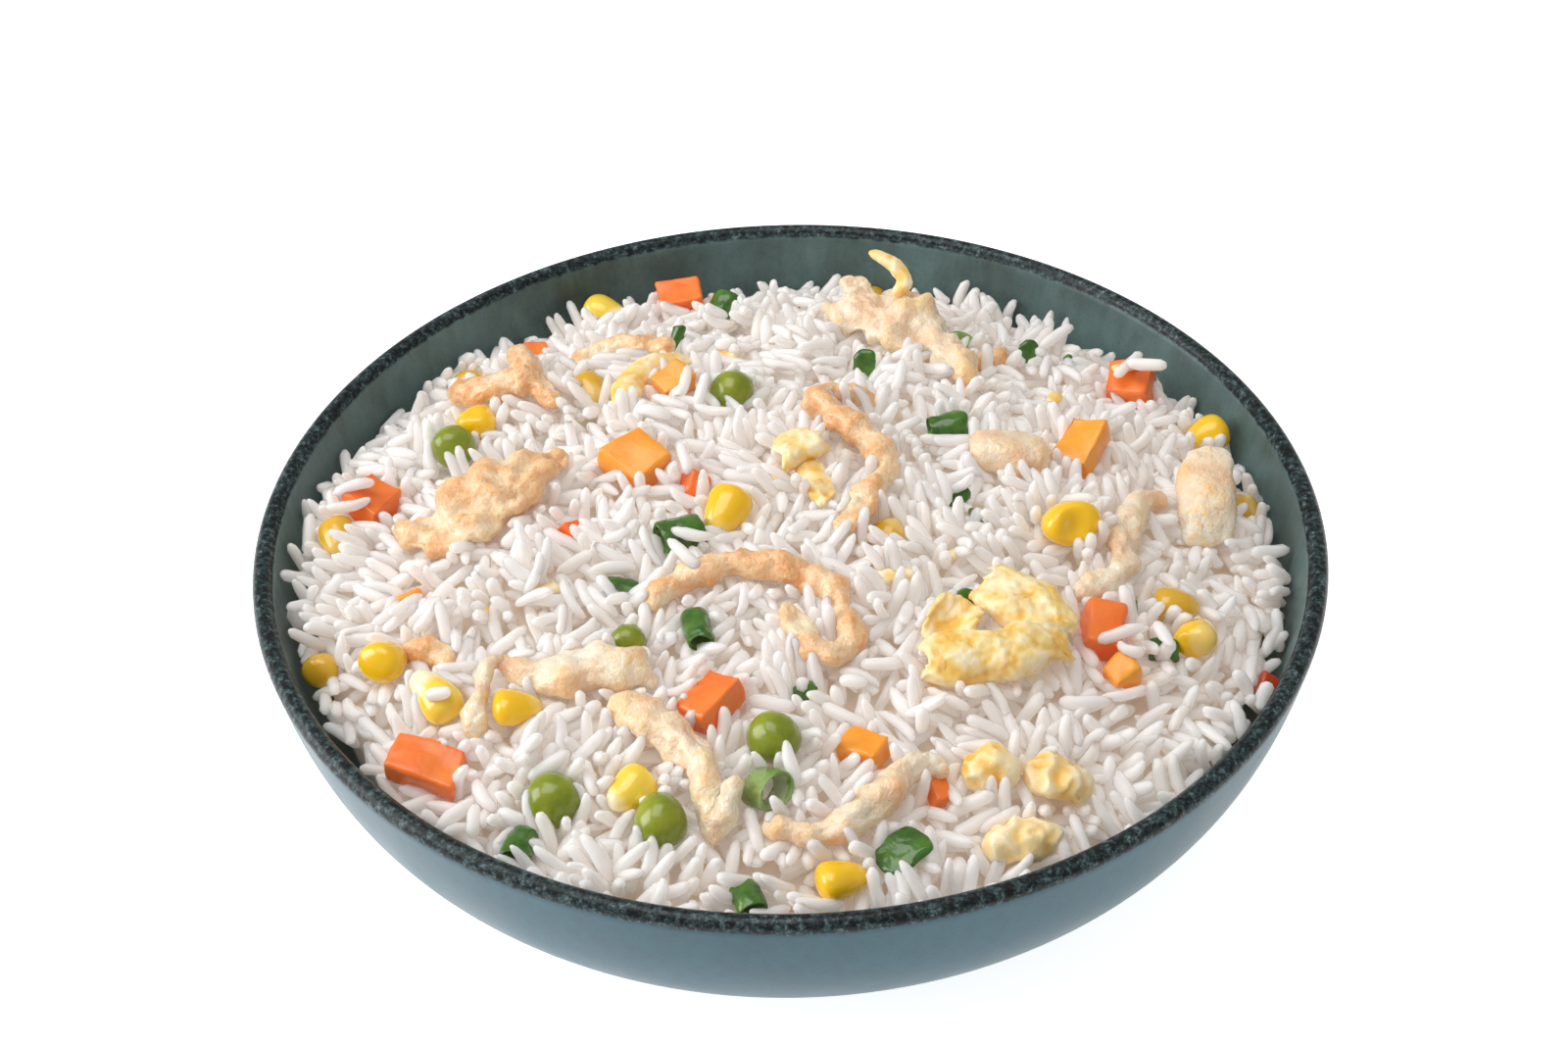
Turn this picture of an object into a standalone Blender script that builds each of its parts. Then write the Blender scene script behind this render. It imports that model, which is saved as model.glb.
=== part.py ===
"""A deep stoneware plate heaped with chicken pilaf, every piece its own closed solid.

The origin is the centre of the plate's foot, on the table. +Z is up, -Y faces the
diner and +X is at the diner's right. Sizes and places are given in millimetres and
turned into metres by MM.
"""

import math
import random

import bmesh
import bpy
from mathutils import Euler, Matrix, Vector, noise

MM = 0.001

# ---- The plate -----------------------------------------------------------------
RIM_RADIUS = 100.0
RIM_HEIGHT = 43.0
LIP_THICKNESS = 3.6
WELL_THICKNESS = 4.4
LEAN_AT_LIP = 8.8  # degrees inwards from the vertical
TURN_DOWN_WALL = 73.3  # degrees that the wall turns on its way to the well
WALL_ARC = 47.0  # length of the wall, measured down its outside
FOOT_RADIUS = 58.5
FOOT_WIDTH = 4.5
FOOT_RECESS = 3.4  # from the table to the underside of the well
PLATE_SIDES = 48

# ---- The heap of rice ----------------------------------------------------------
CROWN_ABOVE_RIM = 2.5
EDGE_BELOW_RIM = {"back": 15.0, "front": 9.0, "left": 8.0, "right": 11.0}
HEAP_REACH = 94.0
HEAP_ROUNDNESS = 2.4
RELIEF = 1.5  # how far the outline wanders up and down
RELIEF_LENGTH = 16.0
MOUNDS = (  # x, y, height, radius of the clumps that stand out of the heap
    (-47.0, -15.0, 3.5, 9.0),
    (1.0, 54.0, 2.5, 10.0),
    (40.0, 74.0, 2.5, 8.0),
    (31.0, 6.0, 1.5, 8.0),
    (68.0, -48.0, 1.5, 10.0),
)
HEAP_SIDES = 48

RICE_CLEARANCE = 0.7  # between the rice and the plate
POCKET = 0.5  # how much wider the rice opens than the piece that lies in it

serving = None  # the empty that every piece is placed under


# ---- Helpers -------------------------------------------------------------------
def clear_scene():
    for obj in list(bpy.data.objects):
        bpy.data.objects.remove(obj)


def finish(name, colour, roughness):
    """A plain coloured material, shared by the pieces of one food."""
    made = bpy.data.materials.get(name)
    if made is None:
        made = bpy.data.materials.new(name)
        made.use_nodes = True
        shader = made.node_tree.nodes["Principled BSDF"]
        shader.inputs["Base Color"].default_value = (*colour, 1.0)
        shader.inputs["Roughness"].default_value = roughness
        shader.inputs["Metallic"].default_value = 0.0
    return made


def add_piece(name, bm, material, smooth=True):
    """Turns a bmesh in millimetres into a named object under the serving."""
    bmesh.ops.recalc_face_normals(bm, faces=bm.faces)
    bmesh.ops.scale(bm, vec=(MM, MM, MM), verts=bm.verts)
    mesh = bpy.data.meshes.new(name)
    bm.to_mesh(mesh)
    bm.free()
    if smooth:
        mesh.shade_smooth()
    obj = bpy.data.objects.new(name, mesh)
    obj.data.materials.append(material)
    bpy.context.scene.collection.objects.link(obj)
    obj.parent = serving
    return obj


def put(obj, x, y, lift, yaw=0.0, pitch=0.0, roll=0.0):
    """Sets a piece on the heap: its middle stands lift above the rice at x, y."""
    obj.location = Vector((x, y, heap_height(x, y) + lift)) * MM
    obj.rotation_euler = Euler([math.radians(a) for a in (roll, -pitch, yaw)])


def loft(rings, first_tip, last_tip):
    """A closed skin over rings of equal length, with a tip at each end."""
    bm = bmesh.new()
    loops = [[bm.verts.new(p) for p in ring] for ring in rings]
    sides = len(loops[0])
    for lower, upper in zip(loops, loops[1:]):
        for i in range(sides):
            j = (i + 1) % sides
            bm.faces.new((lower[i], lower[j], upper[j], upper[i]))
    for tip, loop in ((first_tip, loops[0]), (last_tip, loops[-1])):
        point = bm.verts.new(tip)
        for i in range(sides):
            bm.faces.new((point, loop[i], loop[(i + 1) % sides]))
    return bm


def smooth_route(knots, share):
    """The knots' values at a share of the way along a Catmull-Rom curve through them."""
    at = share * (len(knots) - 1)
    i = min(int(at), len(knots) - 2)
    t = at - i
    before, a, b, after = (
        knots[max(i - 1, 0)],
        knots[i],
        knots[i + 1],
        knots[min(i + 2, len(knots) - 1)],
    )
    return [
        0.5
        * (
            2 * q
            + (r - p) * t
            + (2 * p - 5 * q + 4 * r - s) * t * t
            + (3 * q - p - 3 * r + s) * t**3
        )
        for p, q, r, s in zip(before, a, b, after)
    ]


# ---- The plate: one turned piece of stoneware -----------------------------------
def wall_point(arc):
    """(radius, height, lean in radians) on the wall's outside, arc below the lip."""
    radius, height = RIM_RADIUS, RIM_HEIGHT - LIP_THICKNESS / 2
    steps = 40
    for i in range(steps):
        share = (i + 0.5) * arc / steps / WALL_ARC
        lean = math.radians(LEAN_AT_LIP + TURN_DOWN_WALL * share**2)
        radius -= arc / steps * math.sin(lean)
        height -= arc / steps * math.cos(lean)
    return radius, height, math.radians(LEAN_AT_LIP + TURN_DOWN_WALL * (arc / WALL_ARC) ** 2)


def inside_of_wall(arc, clearance=0.0):
    """(radius, height) opposite wall_point, on the inner face or a clearance off it."""
    radius, height, lean = wall_point(arc)
    share = arc / WALL_ARC
    inwards = LIP_THICKNESS + (WELL_THICKNESS - LIP_THICKNESS) * share + clearance
    return radius - inwards * math.cos(lean), height + inwards * math.sin(lean)


def well_height():
    return inside_of_wall(WALL_ARC)[1]


def arc_at(height):
    """How far down the wall its inner face is at this height, by halving."""
    low, high = 0.0, WALL_ARC
    for _ in range(24):
        middle = (low + high) / 2
        if inside_of_wall(middle)[1] > height:
            low = middle
        else:
            high = middle
    return low


def plate_profile():
    """The section of the plate, from the axis underneath, out and round to the axis above."""
    foot = [
        (0.0, FOOT_RECESS),
        (FOOT_RADIUS - FOOT_WIDTH - 1.0, FOOT_RECESS),
        (FOOT_RADIUS - FOOT_WIDTH, 0.0),
        (FOOT_RADIUS, 0.0),
        (FOOT_RADIUS + 1.2, FOOT_RECESS),
    ]
    arcs = [WALL_ARC * (1 - i / 8) for i in range(9)]
    outside = [wall_point(arc)[:2] for arc in arcs]
    lean = math.radians(LEAN_AT_LIP)
    half = LIP_THICKNESS / 2
    middle = (
        RIM_RADIUS - half * math.cos(lean),
        RIM_HEIGHT - half + half * math.sin(lean),
    )
    lip = [
        (middle[0] + half * math.cos(a), middle[1] + half * math.sin(a))
        for a in (math.radians(d) for d in (40, 90, 140))
    ]
    top = max(height for _, height in lip)
    lip = [(r, h + RIM_HEIGHT - top) for r, h in lip]
    inside = [inside_of_wall(WALL_ARC * i / 7) for i in range(8)]
    return foot + outside + lip + inside + [(0.0, well_height() - 0.4)]


def make_plate():
    bm = bmesh.new()
    points = [bm.verts.new((r, 0.0, h)) for r, h in plate_profile()]
    edges = [bm.edges.new(pair) for pair in zip(points, points[1:])]
    bmesh.ops.spin(
        bm,
        geom=points + edges,
        axis=(0, 0, 1),
        cent=(0, 0, 0),
        angle=2 * math.pi,
        steps=PLATE_SIDES,
        use_merge=True,
    )
    bmesh.ops.remove_doubles(bm, verts=bm.verts, dist=0.001)
    glaze = finish("stoneware_glaze", (0.17, 0.26, 0.27), 0.3)
    return add_piece("deep_plate", bm, glaze)


# ---- The heap of rice -----------------------------------------------------------
def edge_height(x, y):
    """Height at which the rice meets the wall, in the direction of x, y."""
    turn = math.atan2(y, x)
    shares = {
        "back": max(math.sin(turn), 0) ** 2,
        "front": max(-math.sin(turn), 0) ** 2,
        "left": max(-math.cos(turn), 0) ** 2,
        "right": max(math.cos(turn), 0) ** 2,
    }
    return RIM_HEIGHT - sum(EDGE_BELOW_RIM[side] * part for side, part in shares.items())


def heap_height(x, y):
    """The top of the rice: a low crown that falls to the wall, with clumps and hollows."""
    share = min(math.hypot(x, y) / HEAP_REACH, 1.0) ** HEAP_ROUNDNESS
    edge = edge_height(x, y)
    crown = RIM_HEIGHT + CROWN_ABOVE_RIM
    height = edge + (crown - edge) * (1 - share)
    height += RELIEF * noise.noise(Vector((x, y, 0.0)) / RELIEF_LENGTH)
    for mound_x, mound_y, tall, radius in MOUNDS:
        away = math.hypot(x - mound_x, y - mound_y) / radius
        height += tall * math.exp(-away * away)
    return height


def make_rice(pockets):
    """Rice fills the plate from its well up to the heap, less a pocket round each piece."""
    turns = [2 * math.pi * i / HEAP_SIDES for i in range(HEAP_SIDES)]
    ways = [(math.cos(a), math.sin(a)) for a in turns]
    edges = [arc_at(heap_height(HEAP_REACH * c, HEAP_REACH * s)) for c, s in ways]
    floor = well_height() + RICE_CLEARANCE

    def on_floor(radius):
        return [(radius * c, radius * s, floor) for c, s in ways]

    def on_wall(share):
        ring = []
        for (c, s), edge in zip(ways, edges):
            arc = WALL_ARC + (edge - WALL_ARC) * share
            radius, height = inside_of_wall(arc, RICE_CLEARANCE)
            ring.append((radius * c, radius * s, height))
        return ring

    def on_top(share):
        ring = []
        for (c, s), edge in zip(ways, edges):
            reach = inside_of_wall(edge, RICE_CLEARANCE)[0] * share
            ring.append((reach * c, reach * s, heap_height(reach * c, reach * s)))
        return ring

    rings = [on_floor(40.0)]
    rings += [on_wall(share) for share in (0.0, 0.3, 0.6, 1.0)]
    rings += [on_top(share) for share in (0.93, 0.84, 0.74, 0.63, 0.52, 0.4, 0.28, 0.15)]
    bm = loft(rings, (0.0, 0.0, floor), (0.0, 0.0, heap_height(0.0, 0.0)))
    rice = add_piece("rice", bm, finish("cooked_rice", (0.9, 0.89, 0.86), 0.5))
    cut = rice.modifiers.new("pockets", "BOOLEAN")
    cut.operation = "DIFFERENCE"
    cut.operand_type = "COLLECTION"
    cut.collection = pockets
    return rice


def drop_crumbs(obj):
    """Applies the modifiers and keeps only the largest joined body of the mesh."""
    bpy.context.view_layer.update()
    graph = bpy.context.evaluated_depsgraph_get()
    whole = bpy.data.meshes.new_from_object(obj.evaluated_get(graph))
    bm = bmesh.new()
    bm.from_mesh(whole)
    bmesh.ops.remove_doubles(bm, verts=bm.verts, dist=0.000001)
    bodies, seen = [], set()
    for start in bm.verts:
        if start in seen:
            continue
        body, edge = {start}, [start]
        while edge:
            for link in edge.pop().link_edges:
                for vert in link.verts:
                    if vert not in body:
                        body.add(vert)
                        edge.append(vert)
        seen |= body
        bodies.append(body)
    largest = max(bodies, key=len)
    crumbs = [v for body in bodies if body is not largest for v in body]
    bmesh.ops.delete(bm, geom=crumbs, context="VERTS")
    bm.to_mesh(whole)
    bm.free()
    obj.modifiers.clear()
    obj.data = whole


def open_pocket(pockets, obj, bm=None):
    """A cutter in the shape of the piece, a little wider all round, or of bm if given."""
    mesh = bpy.data.meshes.new("pocket")
    if bm is None:
        bpy.context.view_layer.update()
        graph = bpy.context.evaluated_depsgraph_get()
        bm = bmesh.new()
        bm.from_object(obj, graph)
        bm.normal_update()
        for vert in bm.verts:
            vert.co += vert.normal * POCKET * MM
    else:
        bmesh.ops.recalc_face_normals(bm, faces=bm.faces)
        bmesh.ops.scale(bm, vec=(MM, MM, MM), verts=bm.verts)
    bm.to_mesh(mesh)
    bm.free()
    cutter = bpy.data.objects.new("pocket_" + obj.name, mesh)
    cutter.location, cutter.rotation_euler = obj.location, obj.rotation_euler
    cutter.parent = serving
    cutter.hide_render = True
    cutter.display_type = "WIRE"
    pockets.objects.link(cutter)


# ---- Chicken and egg: soft pieces that lie along a route -------------------------
def limb(knots, rings, sides, unevenness, seed):
    """A lumpy solid along a route of (x, y, lift, width, thickness) knots."""
    places = []
    for i in range(rings + 2):
        share = 0.5 - 0.5 * math.cos(math.pi * i / (rings + 1))
        share = 0.5 * share + 0.5 * i / (rings + 1)
        x, y, lift, width, thick = smooth_route(knots, share)
        round_off = (1 - abs(2 * share - 1) ** 4) ** 0.5
        middle = Vector((x, y, heap_height(x, y) + lift))
        places.append((middle, width * round_off, thick * round_off))
    skins = []
    for i in range(1, rings + 1):
        middle, width, thick = places[i]
        along = (places[i + 1][0] - places[i - 1][0]).normalized()
        across = along.cross(Vector((0, 0, 1))).normalized()
        over = across.cross(along)
        skin = []
        for k in range(sides):
            turn = 2 * math.pi * (k + 0.5) / sides
            reach = across * math.cos(turn) * width / 2 + over * math.sin(turn) * thick / 2
            wander = noise.noise((middle + reach) / 5.0 + Vector((seed, 0, 0)))
            skin.append(middle + reach * (1 + unevenness * wander))
        skins.append(skin)
    return loft(skins, places[0][0], places[-1][0])


def set_origin(bm):
    """Moves the mesh so that its middle is the origin, and gives that middle back."""
    middle = sum((v.co for v in bm.verts), Vector()) / len(bm.verts)
    bmesh.ops.translate(bm, vec=-middle, verts=bm.verts)
    return middle


def make_limbs(name, limbs, material, rings, sides, unevenness, pockets, seed):
    """One piece of food made of one or more limbs, joined where they cross."""
    bm = limb(limbs[0], rings, sides, unevenness, seed)
    middle = set_origin(bm)
    obj = add_piece(name, bm, material)
    obj.location = middle * MM
    for i, knots in enumerate(limbs[1:]):
        branch_bm = limb(knots, max(rings - 4, 4), sides - 1, unevenness, seed + 3.3 + i)
        bmesh.ops.translate(branch_bm, vec=-middle, verts=branch_bm.verts)
        branch = add_piece(f"{name}_branch_{i}", branch_bm, material)
        branch.location = obj.location
        branch.hide_render = True
        branch.display_type = "WIRE"
        join = obj.modifiers.new("branch", "BOOLEAN")
        join.operation = "UNION"
        join.object = branch
    open_pocket(pockets, obj)
    return obj


CHICKEN = (  # each piece: limbs of (x, y, lift, width, thickness) along the strip
    (
        ((-70, 42, 3.5, 5, 5), (-61, 40, 4, 7, 6), (-52, 39, 4.5, 6.5, 6), (-48, 36, 4, 5, 5),
         (-45, 31, 2, 4.5, 4.5)),
        ((-56, 52, 5.5, 4, 4), (-53, 44, 5.5, 5, 4.5), (-50, 38, 4.5, 5, 4)),
    ),
    (((-46, 49, 2.5, 5, 4.5), (-37, 53, 2.8, 5.5, 5), (-29, 54, 2.5, 5, 4.5), (-22, 52, 1.5, 3.5, 3)),),
    (
        ((-72, -1, 2, 9, 4), (-66, -5, 3.2, 17, 5), (-58, 0, 4, 17, 5.5), (-50, 6, 4.8, 14, 5),
         (-41, 12, 4, 7, 4)),
    ),
    (
        ((8, 65, 4, 8, 5), (15, 64, 5.5, 16, 6), (24, 58, 5.5, 17, 6), (31, 49, 4, 11, 5.5),
         (37, 39, 1.5, 5, 4)),
        ((15, 72, 10, 5, 4), (16, 67, 8.5, 7, 5), (18, 61, 6, 7, 5)),
    ),
    (
        ((19, 26, 2.5, 4.5, 4), (12, 30, 3.5, 5.5, 5), (5, 27, 3.5, 5.5, 5), (10, 18, 3.5, 6, 5),
         (17, 12, 4, 6.5, 5), (19, 4, 3.5, 5.5, 4.5), (14, -4, 3, 7, 5), (8.5, -14, 2, 8, 4.5)),
    ),
    (
        ((-26.5, -32, 1.8, 6.5, 5), (-18, -22.5, 2.6, 6.5, 5), (-8, -22, 2.8, 4.8, 4.5),
         (3, -24, 3.4, 4.8, 4.5), (9.2, -31, 3, 5, 4.5), (10.5, -39, 2.5, 5.5, 4.5),
         (6.5, -44, 2, 6, 4.5), (1.8, -38, 2.5, 7, 5), (-1.2, -30, 3, 6.5, 4.5)),
    ),
    (((34.5, 12, 2.2, 7, 5), (42, 11, 2.8, 11, 7), (50.5, 9.5, 2.2, 8, 5.5)),),
    (
        ((71.5, 3, 2.5, 5, 4.5), (66, -0.5, 3, 6.5, 5.5), (61.5, -10, 2.5, 5.5, 5),
         (60.5, -19, 2.5, 6, 5), (55, -24, 2, 5, 4.5), (50, -26, 1.5, 4, 3.5)),
    ),
    (((77, -8.5, 2, 10, 5), (79.5, 2, 5, 11.5, 6), (81.5, 13, 8.5, 10, 5)),),
    (
        ((-52, -39.5, 1.8, 4.5, 4), (-43, -44, 1.8, 8, 5.5), (-32, -42.5, 2, 11, 6),
         (-22, -46.5, 1, 5, 3.5)),
        ((-49, -39, 2.5, 4, 3.5), (-53.5, -42, 3.5, 4, 4), (-53.5, -50, 3, 4.5, 4), (-55, -56, 1.5, 3.5, 3.5)),
    ),
    (
        ((-31, -49.5, 2, 5.5, 4.5), (-25, -56, 3, 8, 6), (-18, -61.8, 3.5, 7.5, 6),
         (-14.2, -70, 3, 6, 5.5), (-13.6, -79.5, 1.5, 5.4, 4.5)),
        ((-13.5, -79, 2, 4, 4), (-11, -75.5, 4, 4, 3.8), (-8.8, -70.5, 6.2, 3.8, 3.6)),
    ),
    (
        ((-5.5, -76.5, 2, 3, 3), (2, -79, 2.5, 4.5, 4), (9, -77.5, 3, 5, 4.5), (15, -72, 3, 5.5, 5),
         (20, -66.5, 3, 6, 5), (25.5, -65.5, 2, 5.5, 4.5)),
    ),
)

EGG = (
    (
        ((22, -48.5, 1.5, 8, 4), (28, -43.5, 3, 17, 5.5), (36, -38.5, 3.6, 22, 6), (44, -38, 3.8, 16, 5.5),
         (49, -38.5, 2, 7, 4)),
    ),
    (((1, 15, 2, 8, 4), (3, 8, 3, 12, 5), (3.5, 0, 2.5, 9.5, 4.5), (2, -7, 1.5, 5, 3.5)),),
    (((27.5, -65, 1.5, 6, 4.5), (32, -66.5, 2.8, 9, 6.5), (36.5, -66, 1.5, 5, 5)),),
    (((37.8, -68, 1.5, 5, 4.5), (43, -67.5, 2.2, 9.5, 6), (48.5, -68.5, 1.5, 6, 4.5)),),
    (((30.5, -79.5, 1.5, 5.5, 4.5), (36.5, -79, 2.5, 8, 5.5), (42.5, -76.5, 2, 6, 4.5)),),
    (((-32.5, 29, 1.5, 5.5, 3.5), (-32, 36, 3, 7, 4.5), (-27.5, 44.5, 3, 6, 4), (-18.5, 47, 1.5, 4, 3)),),
    (
        ((23, 62, 10.5, 3, 2.5), (25.5, 66, 13, 3.5, 2.5), (22.5, 70, 16, 3.2, 2.2),
         (18, 73, 17, 2.2, 1.8)),
    ),
)


def make_chicken(pockets):
    meat = finish("poached_chicken", (0.75, 0.5, 0.33), 0.4)
    for n, limbs in enumerate(CHICKEN, start=1):
        rings = 6 + 2 * max(len(limbs[0]) - 4, 0)
        make_limbs(f"chicken_{n:02}", limbs, meat, min(rings, 13), 7, 0.35, pockets, n * 1.7)


def make_egg(pockets):
    curd = finish("scrambled_egg", (0.88, 0.66, 0.22), 0.45)
    for n, limbs in enumerate(EGG, start=1):
        make_limbs(f"egg_{n}", limbs, curd, 6, 8, 0.5, pockets, 40 + n * 1.3)


# ---- Carrot dice: knife-cut blocks ----------------------------------------------
CARROTS = (  # x, y, lift, (length, width, height), yaw, pitch, roll
    (-22.7, 83.0, 2.5, (9.0, 7.0, 5.2), 8, 5, 12),
    (-22.8, 37.2, 2.0, (7.5, 6.8, 6.0), 35, 10, 15),
    (-28.5, 10.2, 2.0, (10.0, 9.6, 7.0), 42, 6, 14),
    (-80.5, 8.5, 2.0, (9.0, 7.5, 6.0), 62, -10, 18),
    (-62.3, -59.8, 1.8, (13.5, 7.5, 5.8), -18, -6, 10),
    (-14.0, -52.5, 2.0, (10.0, 6.8, 6.0), 52, 8, -14),
    (12.0, -61.3, 0.6, (8.0, 6.0, 5.2), -35, 6, 8),
    (57.0, 15.8, 2.4, (12.0, 7.5, 6.5), 62, 18, -12),
    (70.8, 43.5, 2.2, (9.5, 8.0, 6.5), -22, 8, 16),
    (54.8, -34.2, 1.4, (9.2, 7.0, 6.2), 82, 8, 10),
    (57.2, -44.0, 1.4, (6.0, 5.2, 4.8), 30, 12, 10),
)
KNIFE_WANDER = 0.07
DICE_BEVEL = 0.5


def make_carrots(pockets):
    flesh = finish("boiled_carrot", (0.85, 0.24, 0.03), 0.3)
    for n, (x, y, lift, size, yaw, pitch, roll) in enumerate(CARROTS, start=1):
        dice_cut = random.Random(n)
        bm = bmesh.new()
        bmesh.ops.create_cube(bm, size=1.0)
        for vert in bm.verts:
            vert.co += Vector([dice_cut.uniform(-KNIFE_WANDER, KNIFE_WANDER) for _ in range(3)])
        bmesh.ops.scale(bm, vec=size, verts=bm.verts)
        bmesh.ops.bevel(
            bm, geom=bm.edges[:], offset=DICE_BEVEL, segments=1, profile=0.5,
            affect="EDGES", material=-1,
        )
        obj = add_piece(f"carrot_{n:02}", bm, flesh, smooth=False)
        put(obj, x, y, lift, yaw, pitch, roll)
        open_pocket(pockets, obj)


# ---- Corn kernels: blunt wedges, broad at the crown -------------------------------
CORN = (  # x, y, lift, length, width, thickness, yaw of the crown, pitch, roll
    (-38.2, 77.8, 2.5, 13.0, 8.2, 6.0, 150, 14, 10),
    (-61.6, 31.0, 2.0, 10.0, 8.6, 6.4, -100, 10, 0),
    (-39.5, 40.5, 0.8, 9.0, 7.5, 5.5, 110, 6, 10),
    (-86.0, -0.5, 1.8, 9.0, 7.5, 5.5, 100, 5, -20),
    (-71.7, -36.5, 2.4, 9.5, 9.0, 7.8, -110, 30, 0),
    (-62.2, -45.5, 2.0, 13.0, 7.8, 6.0, -52, -4, 20),
    (-47.3, -50.5, 2.2, 9.0, 8.0, 6.0, 190, 10, 10),
    (-11.8, -5.0, 2.4, 11.0, 9.0, 6.5, 62, 16, 12),
    (-27.4, -68.4, 1.0, 9.5, 7.6, 6.0, 45, 4, 18),
    (7.0, -85.5, 1.0, 9.0, 7.8, 6.0, 195, 4, 10),
    (51.3, -9.0, 2.6, 12.0, 12.6, 8.5, -70, 32, 0),
    (84.4, 29.2, 2.8, 9.0, 8.5, 6.5, 20, 14, 0),
    (69.6, -24.8, 0.8, 9.0, 7.8, 6.0, 170, 4, 0),
    (72.0, -33.8, 2.4, 10.2, 8.2, 6.4, -110, 18, 15),
)
KERNEL_SECTION = (  # share of the length from the tip, share of the width and thickness
    (0.10, 0.46, 0.50),
    (0.36, 0.74, 0.82),
    (0.66, 0.98, 1.00),
    (0.88, 0.86, 0.84),
)
KERNEL_SIDES = 8


def make_corn(pockets):
    skin = finish("sweet_corn", (0.9, 0.55, 0.02), 0.25)
    turns = [2 * math.pi * (k + 0.5) / KERNEL_SIDES for k in range(KERNEL_SIDES)]
    for n, (x, y, lift, length, width, thick, yaw, pitch, roll) in enumerate(CORN, start=1):
        rings = [
            [
                (
                    length * (share - 0.5),
                    width * wide / 2 * math.cos(a),
                    thick * deep / 2 * math.sin(a),
                )
                for a in turns
            ]
            for share, wide, deep in KERNEL_SECTION
        ]
        bm = loft(rings, (-length / 2, 0, 0), (length * 0.47, 0, 0))
        obj = add_piece(f"corn_{n:02}", bm, skin)
        put(obj, x, y, lift, yaw, pitch, roll)
        open_pocket(pockets, obj)


# ---- Peas -------------------------------------------------------------------------
PEAS = (  # x, y, lift, diameter
    (-11.0, 32.5, 2.0, 9.4),
    (-3.3, -60.4, 2.8, 9.6),
    (-40.2, -68.8, 1.2, 10.0),
    (-22.2, -75.5, 2.0, 9.4),
    (-65.5, 22.0, 2.4, 9.0),
)
PEA_FLATNESS = 0.93


def make_peas(pockets):
    skin = finish("green_pea", (0.22, 0.3, 0.03), 0.3)
    for n, (x, y, lift, diameter) in enumerate(PEAS, start=1):
        bm = bmesh.new()
        bmesh.ops.create_icosphere(bm, subdivisions=2, radius=diameter / 2)
        bmesh.ops.scale(bm, vec=(1, 1, PEA_FLATNESS), verts=bm.verts)
        obj = add_piece(f"pea_{n}", bm, skin)
        put(obj, x, y, lift, 37 * n, 12 * n % 40, 0)
        open_pocket(pockets, obj)


# ---- Spring onion: cut tubes, some squashed, and one leaf -------------------------
ONION_TUBES = (  # x, y, lift, length, diameter, flatness, yaw, pitch, roll
    (-13.5, 75.0, 2.0, 8.5, 7.0, 0.8, 60, 20, 0),
    (31.4, 20.0, 2.2, 8.2, 6.6, 0.85, 8, 4, 0),
    (-20.0, -11.5, 2.2, 9.0, 7.5, 0.7, 28, -6, 10),
    (-16.5, -35.5, 1.8, 9.0, 5.4, 0.8, 100, -6, 0),
    (-4.6, -70.6, 1.8, 6.4, 8.4, 0.75, -52, 30, 20),
    (-45.2, -77.2, 1.6, 7.2, 6.0, 0.8, 78, -8, 0),
)
ONION_LEAF = ((12.5, -84.5, 1.8, 8.0, 1.5), (17, -82.0, 3.2, 8.8, 1.6), (21.5, -79, 2.8, 8.0, 1.5))
TUBE_WALL = 0.9
TUBE_SIDES = 9


def make_spring_onion(pockets):
    leaf = finish("spring_onion_leaf", (0.03, 0.14, 0.02), 0.3)
    for n, (x, y, lift, length, diameter, flat, yaw, pitch, roll) in enumerate(ONION_TUBES, start=1):
        outer, inner, end = diameter / 2, diameter / 2 - TUBE_WALL, length / 2
        bm = bmesh.new()
        section = [bm.verts.new(p) for p in (
            (-end, outer, 0), (end, outer, 0), (end, inner, 0), (-end, inner, 0)
        )]
        edges = [bm.edges.new((section[i], section[(i + 1) % 4])) for i in range(4)]
        bmesh.ops.spin(
            bm, geom=section + edges, axis=(1, 0, 0), cent=(0, 0, 0),
            angle=2 * math.pi, steps=TUBE_SIDES, use_merge=True,
        )
        bmesh.ops.remove_doubles(bm, verts=bm.verts, dist=0.001)
        bmesh.ops.scale(bm, vec=(1, 1, flat), verts=bm.verts)
        obj = add_piece(f"spring_onion_{n}", bm, leaf)
        put(obj, x, y, lift, yaw, pitch, roll)
        filled = bmesh.new()
        bmesh.ops.create_cone(
            filled, cap_ends=True, segments=TUBE_SIDES + 3, radius1=outer + 2 * POCKET,
            radius2=outer + 2 * POCKET, depth=length + 2 * POCKET,
            matrix=Matrix.Rotation(math.pi / 2, 4, "Y"),
        )
        bmesh.ops.scale(filled, vec=(1, 1, flat), verts=filled.verts)
        open_pocket(pockets, obj, filled)
    make_limbs(f"spring_onion_{len(ONION_TUBES) + 1}", (ONION_LEAF,), leaf, 4, 6, 0.0, pockets, 80)


# ---- The serving ------------------------------------------------------------------
def main():
    global serving
    clear_scene()
    serving = bpy.data.objects.new("serving", None)
    bpy.context.scene.collection.objects.link(serving)
    pockets = bpy.data.collections.new("pockets")
    bpy.context.scene.collection.children.link(pockets)
    make_plate()
    make_chicken(pockets)
    make_egg(pockets)
    make_carrots(pockets)
    make_corn(pockets)
    make_peas(pockets)
    make_spring_onion(pockets)
    drop_crumbs(make_rice(pockets))


main()
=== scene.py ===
"""A deep stoneware plate of chicken pilaf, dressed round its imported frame.

Lengths are in millimetres until a piece is finished, when they become metres.
+Z is up and -Y faces the diner.
"""

import math
import random

import bmesh
import bpy
import numpy as np
from mathutils import Euler, Matrix, Quaternion, Vector, noise
from mathutils.bvhtree import BVHTree


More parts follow.
